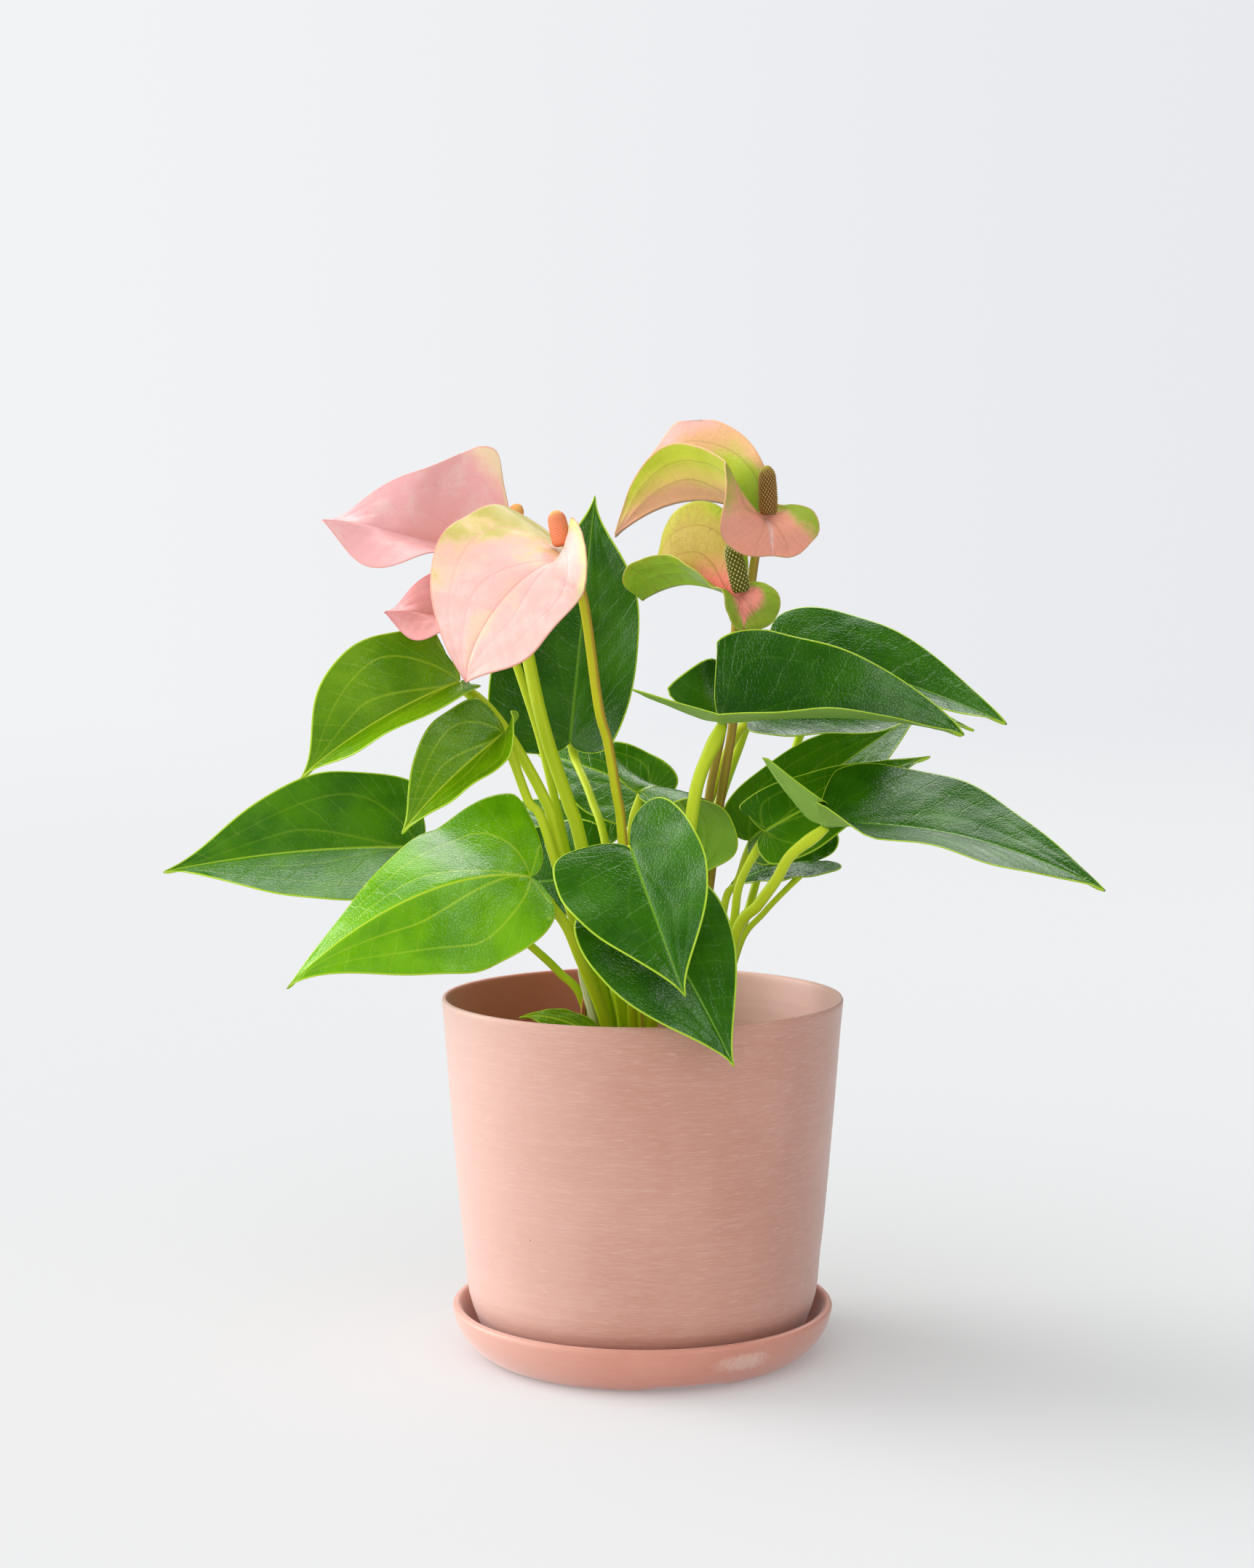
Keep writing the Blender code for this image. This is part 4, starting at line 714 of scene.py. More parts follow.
def blade_sheet(blade, seed):
    """The middle sheet of a blade: points, quads, and what each point knows of its place."""
    surface = Surface(blade)
    columns = len(COLUMNS)
    rows = LOBE_ROWS + SIDE_ROWS
    first = half_margin(blade, 0, surface.length)
    second = half_margin(blade, 1, surface.length)
    second[:, 2] = first[:, 2]
    back = blade.lobes[0][1][0] if blade.lobes else 0.0
    own = 0 if blade.lobes else LOBE_ROWS
    spine_x = np.concatenate([[back, 1.0], first[own:, 2]])
    points = [surface.point(spine_x, np.zeros(len(spine_x)), 0)]
    rib_ids = np.concatenate([np.zeros(own, int), 2 + np.arange(rows - own)])
    collected = {}
    quads = []
    count = 2 + rows - own
    for half, lines in ((0, first), (1, second)):
        flat_x, flat_y, fields = vein_fields(lines, surface.length)
        fields["height"] = relief(fields, half, seed)
        fields["half"] = np.full(flat_x.shape, 1.0 if half == 0 else -1.0)
        points.append(surface.point(flat_x[:, 1:], flat_y[:, 1:], half).reshape(-1, 3))
        for name, values in fields.items():
            if half == 0:
                ends = [values[0, 0], values[-1, 0]]
                if name == "along":
                    ends = [back, 1.0]
                if name == "midrib":
                    ends = [-back * surface.length, 0.0]
                collected[name] = [np.array(ends), values[own:, 0]]
            collected[name].append(values[:, 1:].ravel())
        ids = np.column_stack([rib_ids, count + np.arange(rows * columns).reshape(rows, columns)])
        ids = np.vstack([ids, np.ones(columns + 1, int)])
        if blade.lobes:
            ids = np.vstack([np.zeros(columns + 1, int), ids])
        corners = np.stack([ids[:-1, :-1], ids[1:, :-1], ids[1:, 1:], ids[:-1, 1:]], axis=-1)
        corners = corners.reshape(-1, 4)
        quads.append(corners if half == 0 else corners[:, ::-1])
        count += rows * columns
    fields = {name: np.concatenate(values) for name, values in collected.items()}
    return surface, np.vstack(points), np.vstack(quads), fields


def link_mesh(name, points, faces, material, fields=None):
    """A smooth-shaded mesh in metres from points in millimetres, with named point fields."""
    mesh = bpy.data.meshes.new(name)
    faces = [tuple(dict.fromkeys(int(corner) for corner in face)) for face in faces]
    mesh.from_pydata((np.asarray(points) * MM).tolist(), [], faces)
    for field, values in (fields or {}).items():
        values = np.asarray(values, np.float32)
        kind = "FLOAT_VECTOR" if values.ndim == 2 else "FLOAT"
        layer = mesh.attributes.new(field, kind, "POINT")
        layer.data.foreach_set("vector" if values.ndim == 2 else "value", values.ravel())
    mesh.shade_smooth()
    mesh.materials.append(material)
    made = bpy.data.objects.new(name, mesh)
    bpy.context.scene.collection.objects.link(made)
    return made


def stand_for(piece, node):
    """The piece rides on the part, and hides its CAD node if it has one."""
    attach(piece, "root")
    if node:
        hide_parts(node)


def boundary(faces):
    """The directed edges of a mesh of quads that only one face has."""
    edges = np.vstack([faces[:, [corner, (corner + 1) % 4]] for corner in range(4)])
    edges = edges[edges[:, 0] != edges[:, 1]]
    seen = {(int(a), int(b)) for a, b in edges}
    return np.array([edge for edge in sorted(seen) if (edge[1], edge[0]) not in seen])


def add_blade(node, blade, material, seed, rib_height):
    """A fine blade: grooved above, ribbed below, with a rounded margin all round."""
    surface, points, faces, fields = blade_sheet(blade, seed)
    normals = vertex_normals(points, faces)
    thin = 1.0 - RIB_THINS * np.clip(fields["along"], 0.0, 1.0)
    half = BLADE_THICKNESS / 2.0
    ribs = ridges(fields, (("midrib", MIDRIB_WIDTH, thin), *SIDE_RIBS))
    above = points + normals * (half + fields["height"])[:, None]
    below = points - normals * (half - fields["height"] + rib_height * ribs)[:, None]
    count = len(points)
    rim = boundary(faces)
    rim_points, inverse = np.unique(rim, return_inverse=True)
    inverse = inverse.reshape(rim.shape)
    outward = np.zeros((len(rim_points), 3))
    edge = unit(points[rim[:, 1]] - points[rim[:, 0]])
    away = np.cross(edge, normals[rim[:, 0]])
    for end in range(2):
        np.add.at(outward, inverse[:, end], away)
    middle = points[rim_points] + unit(outward) * MARGIN_ROUND * half + normals[rim_points] * (
        fields["height"][rim_points, None])
    start, following = 2 * count + inverse.T
    bands = [np.column_stack([rim[:, 1], rim[:, 0], start, following]),
             np.column_stack([following, start, count + rim[:, 0], count + rim[:, 1]])]
    faces = np.vstack([faces, faces[:, ::-1] + count, *bands])
    both = {name: np.concatenate([values, values, values[rim_points]])
            for name, values in fields.items()}
    under = np.concatenate([np.zeros(count), np.ones(count), np.full(len(rim_points), 0.5)])
    packed = {
        "veins": np.column_stack([both["midrib"], both["inner"], both["outer"]]),
        "laterals": np.column_stack([both["lobe"], both["lateral"], both["spacing"]]),
        "place": np.column_stack([both["along"], both["share"] * both["half"], both["edge"]]),
        "under": under,
    }
    piece = link_mesh(f"{node}_fine", np.vstack([above, below, middle]), faces, material, packed)
    stand_for(piece, node)
    return surface


def ring_faces(rings, sides, loop=False):
    """Faces that join rings of points, in a loop or closed by two points that follow."""
    ids = np.arange(rings * sides).reshape(rings, sides)
    if loop:
        ids = np.vstack([ids, ids[:1]])
    ahead = np.roll(ids, -1, axis=1)
    faces = np.stack([ids[:-1], ahead[:-1], ahead[1:], ids[1:]], axis=-1).reshape(-1, 4)
    if loop:
        return faces
    low, high = (np.full(sides, rings * sides + end) for end in range(2))
    return np.vstack([faces, np.column_stack([ids[0], low, low, ahead[0]]),
                      np.column_stack([ids[-1], ahead[-1], high, high])])


def tube(line, radii, sides, groove):
    """Points and faces of a closed round tube along a line, with the share along it."""
    tangents = unit(np.gradient(line, axis=0))
    across = unit(np.cross(tangents[0], TUBE_ASIDE))
    angles = np.linspace(0.0, 2.0 * math.pi, sides, endpoint=False)
    rings = []
    for place, tangent, radius in zip(line, tangents, radii):
        across = unit(across - tangent * np.dot(across, tangent))
        beside = np.cross(tangent, across)
        swell = 1.0 - groove * np.exp(-((angles - math.pi) / TUBE_GROOVE) ** 2)
        ring = np.cos(angles)[:, None] * across + np.sin(angles)[:, None] * beside
        rings.append(place + radius * swell[:, None] * ring)
    count = len(line)
    tip = line[-1][None] + tangents[-1] * radii[-1] * TUBE_END
    points = np.vstack([*rings, line[0][None], tip])
    share = np.append(np.repeat(np.linspace(0.0, 1.0, count), sides), (0.0, 1.0))
    return points, ring_faces(count, sides), share


def stem_line(stem, end, arrive):
    """A smooth line out of the soil, through the stem's points, to its end."""
    foot = (*stem.root, SOIL_TOP + STEM_RISE)
    knots = np.array([foot, *stem.points, end])
    slopes = [np.array([0.0, 0.0, np.linalg.norm(knots[1] - knots[0])])]
    slopes += [(after - before) / 2.0 for before, after in zip(knots, knots[2:])]
    slopes.append(arrive * np.linalg.norm(knots[-1] - knots[-2]))
    part = np.linspace(0.0, 1.0, KNOT_STEPS, endpoint=False)
    spans = [cubic(a, a + s / 3.0, b - t / 3.0, b, part)
             for a, b, s, t in zip(knots, knots[1:], slopes, slopes[1:])]
    line = np.vstack([(*stem.root, SOIL_TOP - STEM_SUNK), *spans, knots[-1:]])
    return resample(line, np.linspace(0.0, 1.0, STEM_STEPS))


def add_stem(node, stem, surface, material):
    """A stem that thickens at its foot and at the joint below its blade."""
    base, normal = (value[0] for value in surface.frame(np.array([0.0])))
    approach = unit(base - np.asarray(stem.points[-1], float))
    lean = math.sqrt(max(0.0, 1.0 - float(np.dot(approach, normal)) ** 2))
    droop = max(0.0, *(-math.radians(surface.fold_at(0.0, half)) for half in range(2)))
    under = STEM_END_DEPTH + STEM_TOP * stem.radius * max(lean, math.tan(droop))
    line = stem_line(stem, base - normal * under, approach)
    share = np.linspace(0.0, 1.0, len(line))
    from_end = (1.0 - share) * lengths_along(line)[-1]
    radii = stem.radius * (1.0 + STEM_FOOT * (1.0 - share) ** 2)
    joint = np.exp(-((from_end - STEM_JOINT_PLACE) / STEM_JOINT_LENGTH) ** 2)
    radii = radii * (1.0 + STEM_JOINT * joint)
    radii = radii * (1.0 - (1.0 - STEM_TOP) * np.exp(-(from_end / 2.0) ** 2))
    points, faces, along = tube(line, radii, STEM_SIDES, STEM_GROOVE)
    stand_for(link_mesh(f"{node}_fine", points, faces, material, {"along": along}), node)


def add_spadix(node, spadix, surface, material, spirals, bump):
    """A spike covered in a spiral lattice of small florets, each with a paler dot."""
    base, normal = (value[0] for value in surface.frame(np.array([0.0])))
    axis = unit(spadix.axis)
    across = unit(np.cross(axis, (0.0, 1.0, 0.0)))
    beside = np.cross(axis, across)
    above, behind, aside = spadix.foot
    foot = base + normal * above - np.cross(surface.side, normal) * behind + surface.side * aside
    heights = np.linspace(0.0, 1.0, SPADIX_STEPS)
    profile = np.interp(heights, SPADIX_HEIGHTS, SPADIX_RADII)
    top = np.clip((heights - SPADIX_SHOULDER) / (1.0 - SPADIX_SHOULDER), 0.0, 1.0)
    profile *= np.sqrt(1.0 - top ** 2.6)
    angles = np.linspace(0.0, 2.0 * math.pi, SPADIX_SIDES, endpoint=False)
    turn, climb = np.meshgrid(angles, heights)
    left, right, rows = spirals
    first = np.sin(left * turn + math.pi * rows * climb)
    second = np.sin(right * turn - math.pi * rows * climb * 0.8)
    lattice = np.abs(first * second)
    lumps = bump * (lattice ** 0.6 - 0.6) + 0.35 * bump * smoothstep(0.80, 0.97, lattice)
    radius = spadix.radius * profile[:, None] * (1.0 + lumps)
    ring = np.cos(turn)[..., None] * across + np.sin(turn)[..., None] * beside
    grid = foot + axis * (spadix.length * climb)[..., None] + ring * radius[..., None]
    points = np.vstack([grid.reshape(-1, 3), foot[None], (foot + axis * spadix.length)[None]])
    faces = ring_faces(SPADIX_STEPS, SPADIX_SIDES)
    fields = {"floret": np.append(lattice.ravel(), (0.0, 0.0)),
              "along": np.append(climb.ravel(), (0.0, 1.0))}
    stand_for(link_mesh(f"{node}_fine", points, faces, material, fields), node)


def turned(profile, sides, loop=False, marks=None):
    """Points and faces of a body turned round the Z axis from (radius, height) points."""
    profile = np.asarray(profile, float)
    angles = np.linspace(0.0, 2.0 * math.pi, sides, endpoint=False)
    radius, angle = np.meshgrid(profile[:, 0], angles, indexing="ij")
    height = np.broadcast_to(profile[:, 1][:, None], radius.shape)
    if marks:
        radius, height = marks(radius, height, angle)
    points = np.stack([radius * np.cos(angle), radius * np.sin(angle), height], axis=-1)
    points = points.reshape(-1, 3)
    if not loop:
        points = np.vstack([points, [(0.0, 0.0, profile[end, 1]) for end in (0, -1)]])
    return points, ring_faces(len(profile), sides, loop)


def arc(middle, radius, start, end, steps):
    """Points of an arc round a middle in the (radius, height) plane, angles in degrees."""
    angles = np.radians(np.linspace(start, end, steps))
    across, up = radius * np.cos(angles), radius * np.sin(angles)
    return np.column_stack([middle[0] + across, middle[1] + up])


def evenly(profile, spacing):
    """The profile with a point about every spacing millimetres."""
    run = lengths_along(profile)
    return resample(profile, np.linspace(0.0, 1.0, int(run[-1] / spacing) + 2))


class Nodes:
    """Short calls that add nodes to a tree and feed their sockets."""

    def __init__(self, tree):
        self.tree = tree

    def feed(self, socket, value):
        """Link a node's output to a socket, or set the socket."""
        if isinstance(value, bpy.types.NodeSocket):
            self.tree.links.new(value, socket)
        elif socket.type == "RGBA":
            socket.default_value = (*value, 1.0)
        else:
            socket.default_value = value

    def make(self, kind, feeds, **settings):
        """A node with its settings, and its sockets fed by number or name."""
        node = self.tree.nodes.new(f"ShaderNode{kind}")
        for name, value in settings.items():
            setattr(node, name, value)
        for socket, value in feeds.items():
            self.feed(node.inputs[socket], value)
        return node

    def math(self, operation, first, second=0.0):
        """One step of arithmetic."""
        return self.make("Math", {0: first, 1: second}, operation=operation).outputs[0]

    def total(self, *values):
        """The sum of several values."""
        result = values[0]
        for value in values[1:]:
            result = self.math("ADD", result, value)
        return result

    def scaled(self, value, factor):
        """A value times a factor."""
        return self.math("MULTIPLY", value, factor)

    def measure(self, operation, first, second=(0.0, 0.0, 0.0)):
        """The length of a vector, or the dot product or distance of two."""
        feeds = {0: first, 1: second}
        return self.make("VectorMath", feeds, operation=operation).outputs["Value"]

    def ramp(self, value, low, high, start=0.0, end=1.0):
        """A smooth change from start at low to end at high."""
        feeds = dict(enumerate((value, low, high, start, end)))
        return self.make("MapRange", feeds, interpolation_type="SMOOTHSTEP").outputs[0]

    def mix(self, part, first, second):
        """A blend of two colours."""
        return self.make("Mix", {0: part, 6: first, 7: second}, data_type="RGBA").outputs[2]

    def parts(self, vector):
        """The X, Y and Z of a vector."""
        return self.make("SeparateXYZ", {0: vector}).outputs


class Shader(Nodes):
    """A Principled material. Its sockets' names have _ for spaces here."""

    def __init__(self, name, **sockets):
        self.material = bpy.data.materials.new(name)
        self.material.use_nodes = True
        super().__init__(self.material.node_tree)
        self.set(**sockets)

    def set(self, **sockets):
        """Feed sockets of the Principled shader."""
        surface = self.tree.nodes["Principled BSDF"]
        for socket, value in sockets.items():
            self.feed(surface.inputs[socket.replace("_", " ")], value)

    def line(self, distance, width, soft, strength=1.0):
        """A line of full width where a signed distance is near 0, with soft sides."""
        return self.ramp(self.math("ABSOLUTE", distance), width, width + soft, strength, 0.0)

    def fields(self, name):
        """The three parts of a mesh field."""
        return self.parts(self.make("Attribute", {}, attribute_name=name).outputs["Vector"])

    def field(self, name):
        """A mesh field of single values."""
        return self.make("Attribute", {}, attribute_name=name).outputs["Fac"]

    def spot(self, stretch=(1.0, 1.0, 1.0)):
        """The object's own coordinates, stretched."""
        place = self.make("TexCoord", {}).outputs["Object"]
        return self.make("Mapping", {"Vector": place, "Scale": stretch}).outputs[0]

    def noise(self, size, detail=3.0, rough=0.5, stretch=(1.0, 1.0, 1.0)):
        """Noise whose lumps are about size millimetres."""
        feeds = {"Vector": self.spot(stretch), "Scale": 1.0 / (size * MM), "Detail": detail,
                 "Roughness": rough}
        return self.make("TexNoise", feeds).outputs[0]

    def cells(self, size, feature="DISTANCE_TO_EDGE"):
        """Cells about size millimetres across: the distance to their edges or middles."""
        feeds = {"Vector": self.spot(), "Scale": 1.0 / (size * MM)}
        return self.make("TexVoronoi", feeds, feature=feature).outputs["Distance"]

    def finish(self, colour, roughness, height, depth, strength=1.0):
        """The material, with its colour, roughness and a bump, depth in millimetres."""
        feeds = {"Height": height, "Distance": depth * MM, "Strength": strength}
        self.set(Base_Color=colour, Roughness=roughness, Normal=self.make("Bump", feeds).outputs[0])
        return self.material


def vein_masks(shader, arcs):
    """Masks of the strong veins, the fine ones and the margin, and the place on the blade."""
    midrib, inner, outer = shader.fields("veins")
    lobe, lateral, spacing = shader.fields("laterals")
    along, side, edge = shader.fields("place")
    bows = shader.math("MAXIMUM", shader.line(inner, 0.08, 0.75),
                       shader.line(outer, 0.06, 0.65, 0.85))
    bows = shader.math("MAXIMUM", bows, shader.line(lobe, 0.06, 0.65, 0.75))
    bows = shader.math("MULTIPLY", bows, shader.ramp(along, 0.15, 0.95, arcs, 0.35 * arcs))
    strong = shader.math("MAXIMUM", shader.line(midrib, 0.34, 0.45), bows)
    wander = shader.scaled(shader.noise(9.0, 2.0), 0.6)
    cycle = shader.math("SUBTRACT", shader.math("FRACT", shader.total(lateral, wander)), 0.5)
    fine = shader.line(shader.math("MULTIPLY", cycle, spacing), 0.03, 0.42)
    fine = shader.math("MULTIPLY", fine, shader.ramp(shader.noise(6.0, 2.0), 0.35, 0.62))
    return {"midrib": midrib, "strong": strong, "fine": fine, "along": along, "side": side,
            "margin": shader.line(edge, 0.26, 0.32), "under": shader.field("under")}


def leaf_material(name, deep, light, vein, under, rough, arcs, dots=0.0):
    """A glossy leaf: mottled green, pale veins, a thin pale margin and a paler underside."""
    shader = Shader(name, Specular_IOR_Level=0.30)
    masks = vein_masks(shader, arcs)
    colour = shader.mix(shader.ramp(shader.noise(26.0, 4.0, 0.6), 0.32, 0.70), deep, light)
    colour = shader.mix(shader.ramp(shader.noise(1.1, 2.0), 0.30, 0.75, 0.0, 0.18), colour, light)
    colour = shader.mix(shader.line(masks["midrib"], 0.6, 5.0, 0.35), colour, light)
    colour = shader.mix(shader.scaled(masks["fine"], 0.14), colour, vein)
    if dots:
        fleck = shader.ramp(shader.cells(13.0, "F1"), 0.03, 0.10, dots, 0.0)
        colour = shader.mix(fleck, colour, vein)
    colour = shader.mix(shader.scaled(masks["strong"], 0.85), colour, vein)
    below = shader.mix(shader.scaled(masks["strong"], 0.8), under, vein)
    colour = shader.mix(masks["under"], colour, below)
    colour = shader.mix(masks["margin"], colour, LEAF_RIM)
    gloss = shader.ramp(shader.noise(14.0, 5.0, 0.65), 0.30, 0.72, rough - 0.06, rough + 0.08)
    gloss = shader.math("MAXIMUM", gloss, shader.scaled(masks["under"], 0.55))
    skin = shader.total(shader.scaled(shader.ramp(shader.cells(1.3), 0.0, 0.20), 0.4),
                        shader.noise(3.5, 4.0))
    skin = shader.math("SUBTRACT", skin, shader.scaled(masks["fine"], 0.9))
    return shader.finish(colour, gloss, skin, 0.14, 0.8)


def patch(shader, masks, terms, low, high, strength):
    """A soft patch: a weighted sum of along, signed side, bare side and noise, as a mask."""
    values = (masks["along"], masks["side"], shader.math("ABSOLUTE", masks["side"]),
              shader.noise(11.0, 4.0, 0.6))
    value = shader.total(*(shader.scaled(*pair) for pair in zip(values, terms)))
    return shader.ramp(value, low, high, 0.0, strength)


def spathe_material(name, base, vein, rim, under, vein_strength, fine_strength, mottling, patches,
                    under_patches=()):
    """A waxy spathe: soft patches of colour, veins darker than the rest, a thin margin."""
    shader = Shader(name, Specular_IOR_Level=0.26)
    masks = vein_masks(shader, 0.8)
    sides = []
    for colour, blots in ((base, patches), (under, under_patches)):
        for tint, *place in blots:
            colour = shader.mix(patch(shader, masks, *place), colour, tint)
        mottle = shader.ramp(shader.noise(1.9, 4.0, 0.7), 0.40, 0.80, 0.0, mottling)
        sides.append(shader.mix(mottle, colour, vein))
    colour = shader.mix(masks["under"], *sides)
    for mask, strength, tint in (("fine", fine_strength, vein), ("strong", vein_strength, vein),
                                 ("margin", 0.8, rim)):
        colour = shader.mix(shader.scaled(masks[mask], strength), colour, tint)
    gloss = shader.ramp(shader.noise(8.0, 4.0), 0.3, 0.7, 0.31, 0.46)
    skin = shader.total(shader.noise(2.0, 4.0),
                        shader.scaled(shader.ramp(shader.cells(1.6), 0.0, 0.2), 0.4))
    return shader.finish(colour, gloss, skin, 0.07, 0.7)


def stem_material(name, low, high, flush_and_shade, flush_and_shade_side):
    """A smooth stem: fine lengthwise streaks, paler at the top, and darker on the side away from
    the light: painted shade, with a real red flush there on some stems.
    """
    shader = Shader(name, Specular_IOR_Level=0.18)
    streaks = shader.noise(0.9, 3.0, 0.6, (1.0, 1.0, 0.06))
    colour = shader.mix(shader.ramp(shader.field("along"), 0.15, 0.95), low, high)
    colour = shader.mix(shader.ramp(streaks, 0.40, 0.80, 0.0, 0.20), colour, low)
    # Tint on the side facing +X, away from the light: painted shade, with a real red flush on some
    # stems
    facing = shader.parts(shader.make("TexCoord", {}).outputs["Normal"])[0]
    facing = shader.total(facing, shader.scaled(shader.noise(7.0), 0.5))
    colour = shader.mix(shader.ramp(facing, 0.35, 1.05, 0.0, flush_and_shade_side), colour, flush_and_shade)
    return shader.finish(colour, shader.ramp(streaks, 0.3, 0.7, 0.34, 0.48), streaks, 0.05, 0.6)


def spadix_material(name, gap, floret, dot, top, dot_level):
    """A spadix: painted shade between its florets, a pale dot on each, another colour at its top.
    """
    shader = Shader(name, Specular_IOR_Level=0.24)
    height = shader.field("floret")
    # Darker in the gaps between the lumps: painted shade
    colour = shader.mix(shader.ramp(height, 0.05, 0.45), gap, floret)
    tip = shader.total(shader.field("along"), shader.scaled(shader.noise(2.5), 0.4))
    colour = shader.mix(shader.ramp(tip, 0.95, 1.25, 0.0, 0.85), colour, top)
    colour = shader.mix(shader.ramp(height, dot_level, dot_level + 0.10), colour, dot)
    gloss = shader.ramp(shader.noise(1.0), 0.3, 0.7, 0.48, 0.66)
    return shader.finish(colour, gloss, shader.noise(0.5, 3.0), 0.06, 0.7)


def clay_material(name, deep, main, pale, streak, rough, scuff=None):
    """Unglazed clay: turning streaks, clouds, specks, painted sheen on the left side, painted shade
    and light inside.
    """
    shader = Shader(name, Specular_IOR_Level=0.5, Sheen_Weight=0.45, Sheen_Roughness=0.40)
    brushed = shader.noise(0.45, 4.0, 0.65, (0.08, 0.08, 1.3))
    bands = shader.noise(1.6, 3.0, 0.6, (0.03, 0.03, 1.0))
    across = shader.parts(shader.spot())[0]
    # Paler towards the left side: painted sheen, standing in for the light that falls from the left
    painted_sheen_side = shader.total(across, shader.scaled(shader.noise(30.0), 20.0 * MM))
    grain = shader.noise(0.45, 2.0)
    colour = shader.mix(shader.ramp(shader.noise(40.0, 4.0, 0.55), 0.30, 0.72), deep, main)
    for mask in (shader.ramp(brushed, 0.46, 0.76, 0.0, streak),
                 shader.ramp(bands, 0.48, 0.72, 0.0, 0.25 * streak),
                 shader.ramp(painted_sheen_side, -0.060, 0.020, 0.50, 0.0)):
        colour = shader.mix(mask, colour, pale)
    # Inside the pot: painted shade, dark red on the left inner wall, and painted light, pale on the
    # right inner wall
    inner = shader.mix(shader.ramp(across, -0.040, 0.045), *INSIDE_SHADE_AND_LIGHT)
    colour = shader.mix(shader.scaled(shader.field("inside"), 0.85), colour, inner)
    colour = shader.mix(shader.ramp(grain, 0.62, 0.80, 0.0, 0.4 * streak), colour, pale)
    speck = shader.ramp(shader.cells(19.0, "F1"), 0.014, 0.026, 0.9, 0.0)
    colour = shader.mix(speck, colour, SPECK_COLOUR)
    if scuff:
        middle, size, tint = scuff
        spot = shader.spot(tuple(1.0 / (side * MM) for side in size))
        middle = tuple(at / side for at, side in zip(middle, size))
        worn = shader.total(shader.measure("DISTANCE", spot, middle),
                            shader.scaled(shader.noise(2.2, 5.0, 0.7), 1.5))
        colour = shader.mix(shader.ramp(worn, 1.05, 1.75, 0.50, 0.0), colour, tint)
    gloss = shader.ramp(brushed, 0.3, 0.7, rough - 0.04, rough + 0.06)
    height = shader.total(shader.scaled(brushed, 0.8), shader.scaled(grain, 0.35))
    return shader.finish(colour, gloss, height, 0.10, 0.5)


def soil_material():
    """Dark peaty soil with lighter fibres."""
    shader = Shader("soil", Specular_IOR_Level=0.25)
    dark, light, fibre_colour = SOIL_COLOURS
    colour = shader.mix(shader.ramp(shader.noise(2.5, 5.0, 0.7), 0.35, 0.7), dark, light)
    fibre = shader.ramp(shader.noise(1.4, 3.0, 0.5, (1.0, 0.2, 1.0)), 0.66, 0.74, 0.0, 0.7)
    colour = shader.mix(fibre, colour, fibre_colour)
    return shader.finish(colour, 0.95, shader.noise(0.8, 5.0, 0.7), 0.5)


def sheath_material(dark, light):
    """Dry papery tissue with lengthwise fibres."""
    shader = Shader("sheath", Specular_IOR_Level=0.3)
    fibres = shader.noise(1.0, 4.0, 0.6, (1.0, 1.0, 0.08))
    colour = shader.mix(shader.ramp(fibres, 0.35, 0.68), dark, light)
    return shader.finish(colour, shader.ramp(fibres, 0.3, 0.7, 0.6, 0.8), fibres, 0.2)


def pot_profile():
    """The pot's section: hole edge, foot, wall, thin round rim, inside wall and floor."""
    floor_top = POT_BASE_HEIGHT + POT_FLOOR
    half_rim = POT_RIM_WALL / 2.0
    rim_middle = (POT_RIM_RADIUS - half_rim, POT_RIM_HEIGHT - half_rim)
    wall = smooth_line([*POT_WALL_KNOTS, (POT_RIM_RADIUS, rim_middle[1])], POT_STEPS,
                       start=(1.0, 0.15))
    rim = arc(rim_middle, half_rim, 0.0, 180.0, POT_STEPS)
    heights = np.linspace(rim_middle[1] - 1.0, POT_TAPER_END, 40)
    inside = np.column_stack([pot_inside(heights), heights])
    floor = smooth_line([inside[-1], *POT_FLOOR_KNOTS], 8)
    hole = ((DRAIN_RADIUS, floor_top), (DRAIN_RADIUS, POT_BASE_HEIGHT))
    outline = [(DRAIN_RADIUS + 0.4, POT_BASE_HEIGHT), *wall[:-1], *rim, *inside, *floor[1:], *hole]
    return evenly(np.array(outline), POT_SPACING)[:-1]


def pot_inside(height):
    """The pot's inner radius at a height: a straight taper that thins to the rim."""
    floor = POT_BASE_HEIGHT + POT_FLOOR
    part = (height - floor) / (POT_RIM_HEIGHT - floor)
    outside = POT_TAPER_RADIUS + (POT_RIM_RADIUS - POT_TAPER_RADIUS) * part
    return outside - (POT_WALL + (POT_RIM_WALL - POT_WALL) * part ** 3)


def turning_marks(radius, height, angle):
    """Shallow rings and a slight unevenness from turning, fading out at the rim and foot."""
    keep = smoothstep(8.0, 20.0, height) * smoothstep(POT_RIM_HEIGHT, POT_RIM_HEIGHT - 12.0, height)
    rings = TURNING_RINGS * np.sin(1.9 * height) * np.sin(0.53 * height + 2.0 * np.sin(angle))
    uneven = TURNING_UNEVEN * np.sin(2.0 * angle + 0.02 * height)
    return radius - keep * (TURNING_DEPTH + rings + uneven), height


def add_pot():
    """The turned pot."""
    points, faces = turned(pot_profile(), TURNED_SIDES, loop=True, marks=turning_marks)
    inside = np.hypot(points[:, 0], points[:, 1]) < pot_inside(points[:, 2]) + 0.4
    material = clay_material("pot", *POT_CLAY)
    stand_for(link_mesh("pot_fine", points, faces, material, {"inside": inside}), "pot")


def foot_notch(radius, height, angle):
    """Lift a short stretch of the saucer's foot, where its ring has a gap."""
    away = (angle - NOTCH_ANGLE + math.pi) % (2.0 * math.pi) - math.pi
    front = np.exp(-(away / NOTCH_WIDTH) ** 8)
    low = smoothstep(3.4, 0.0, height) * smoothstep(46.0, 52.0, radius)
    return radius, height + NOTCH_DEPTH * front * low


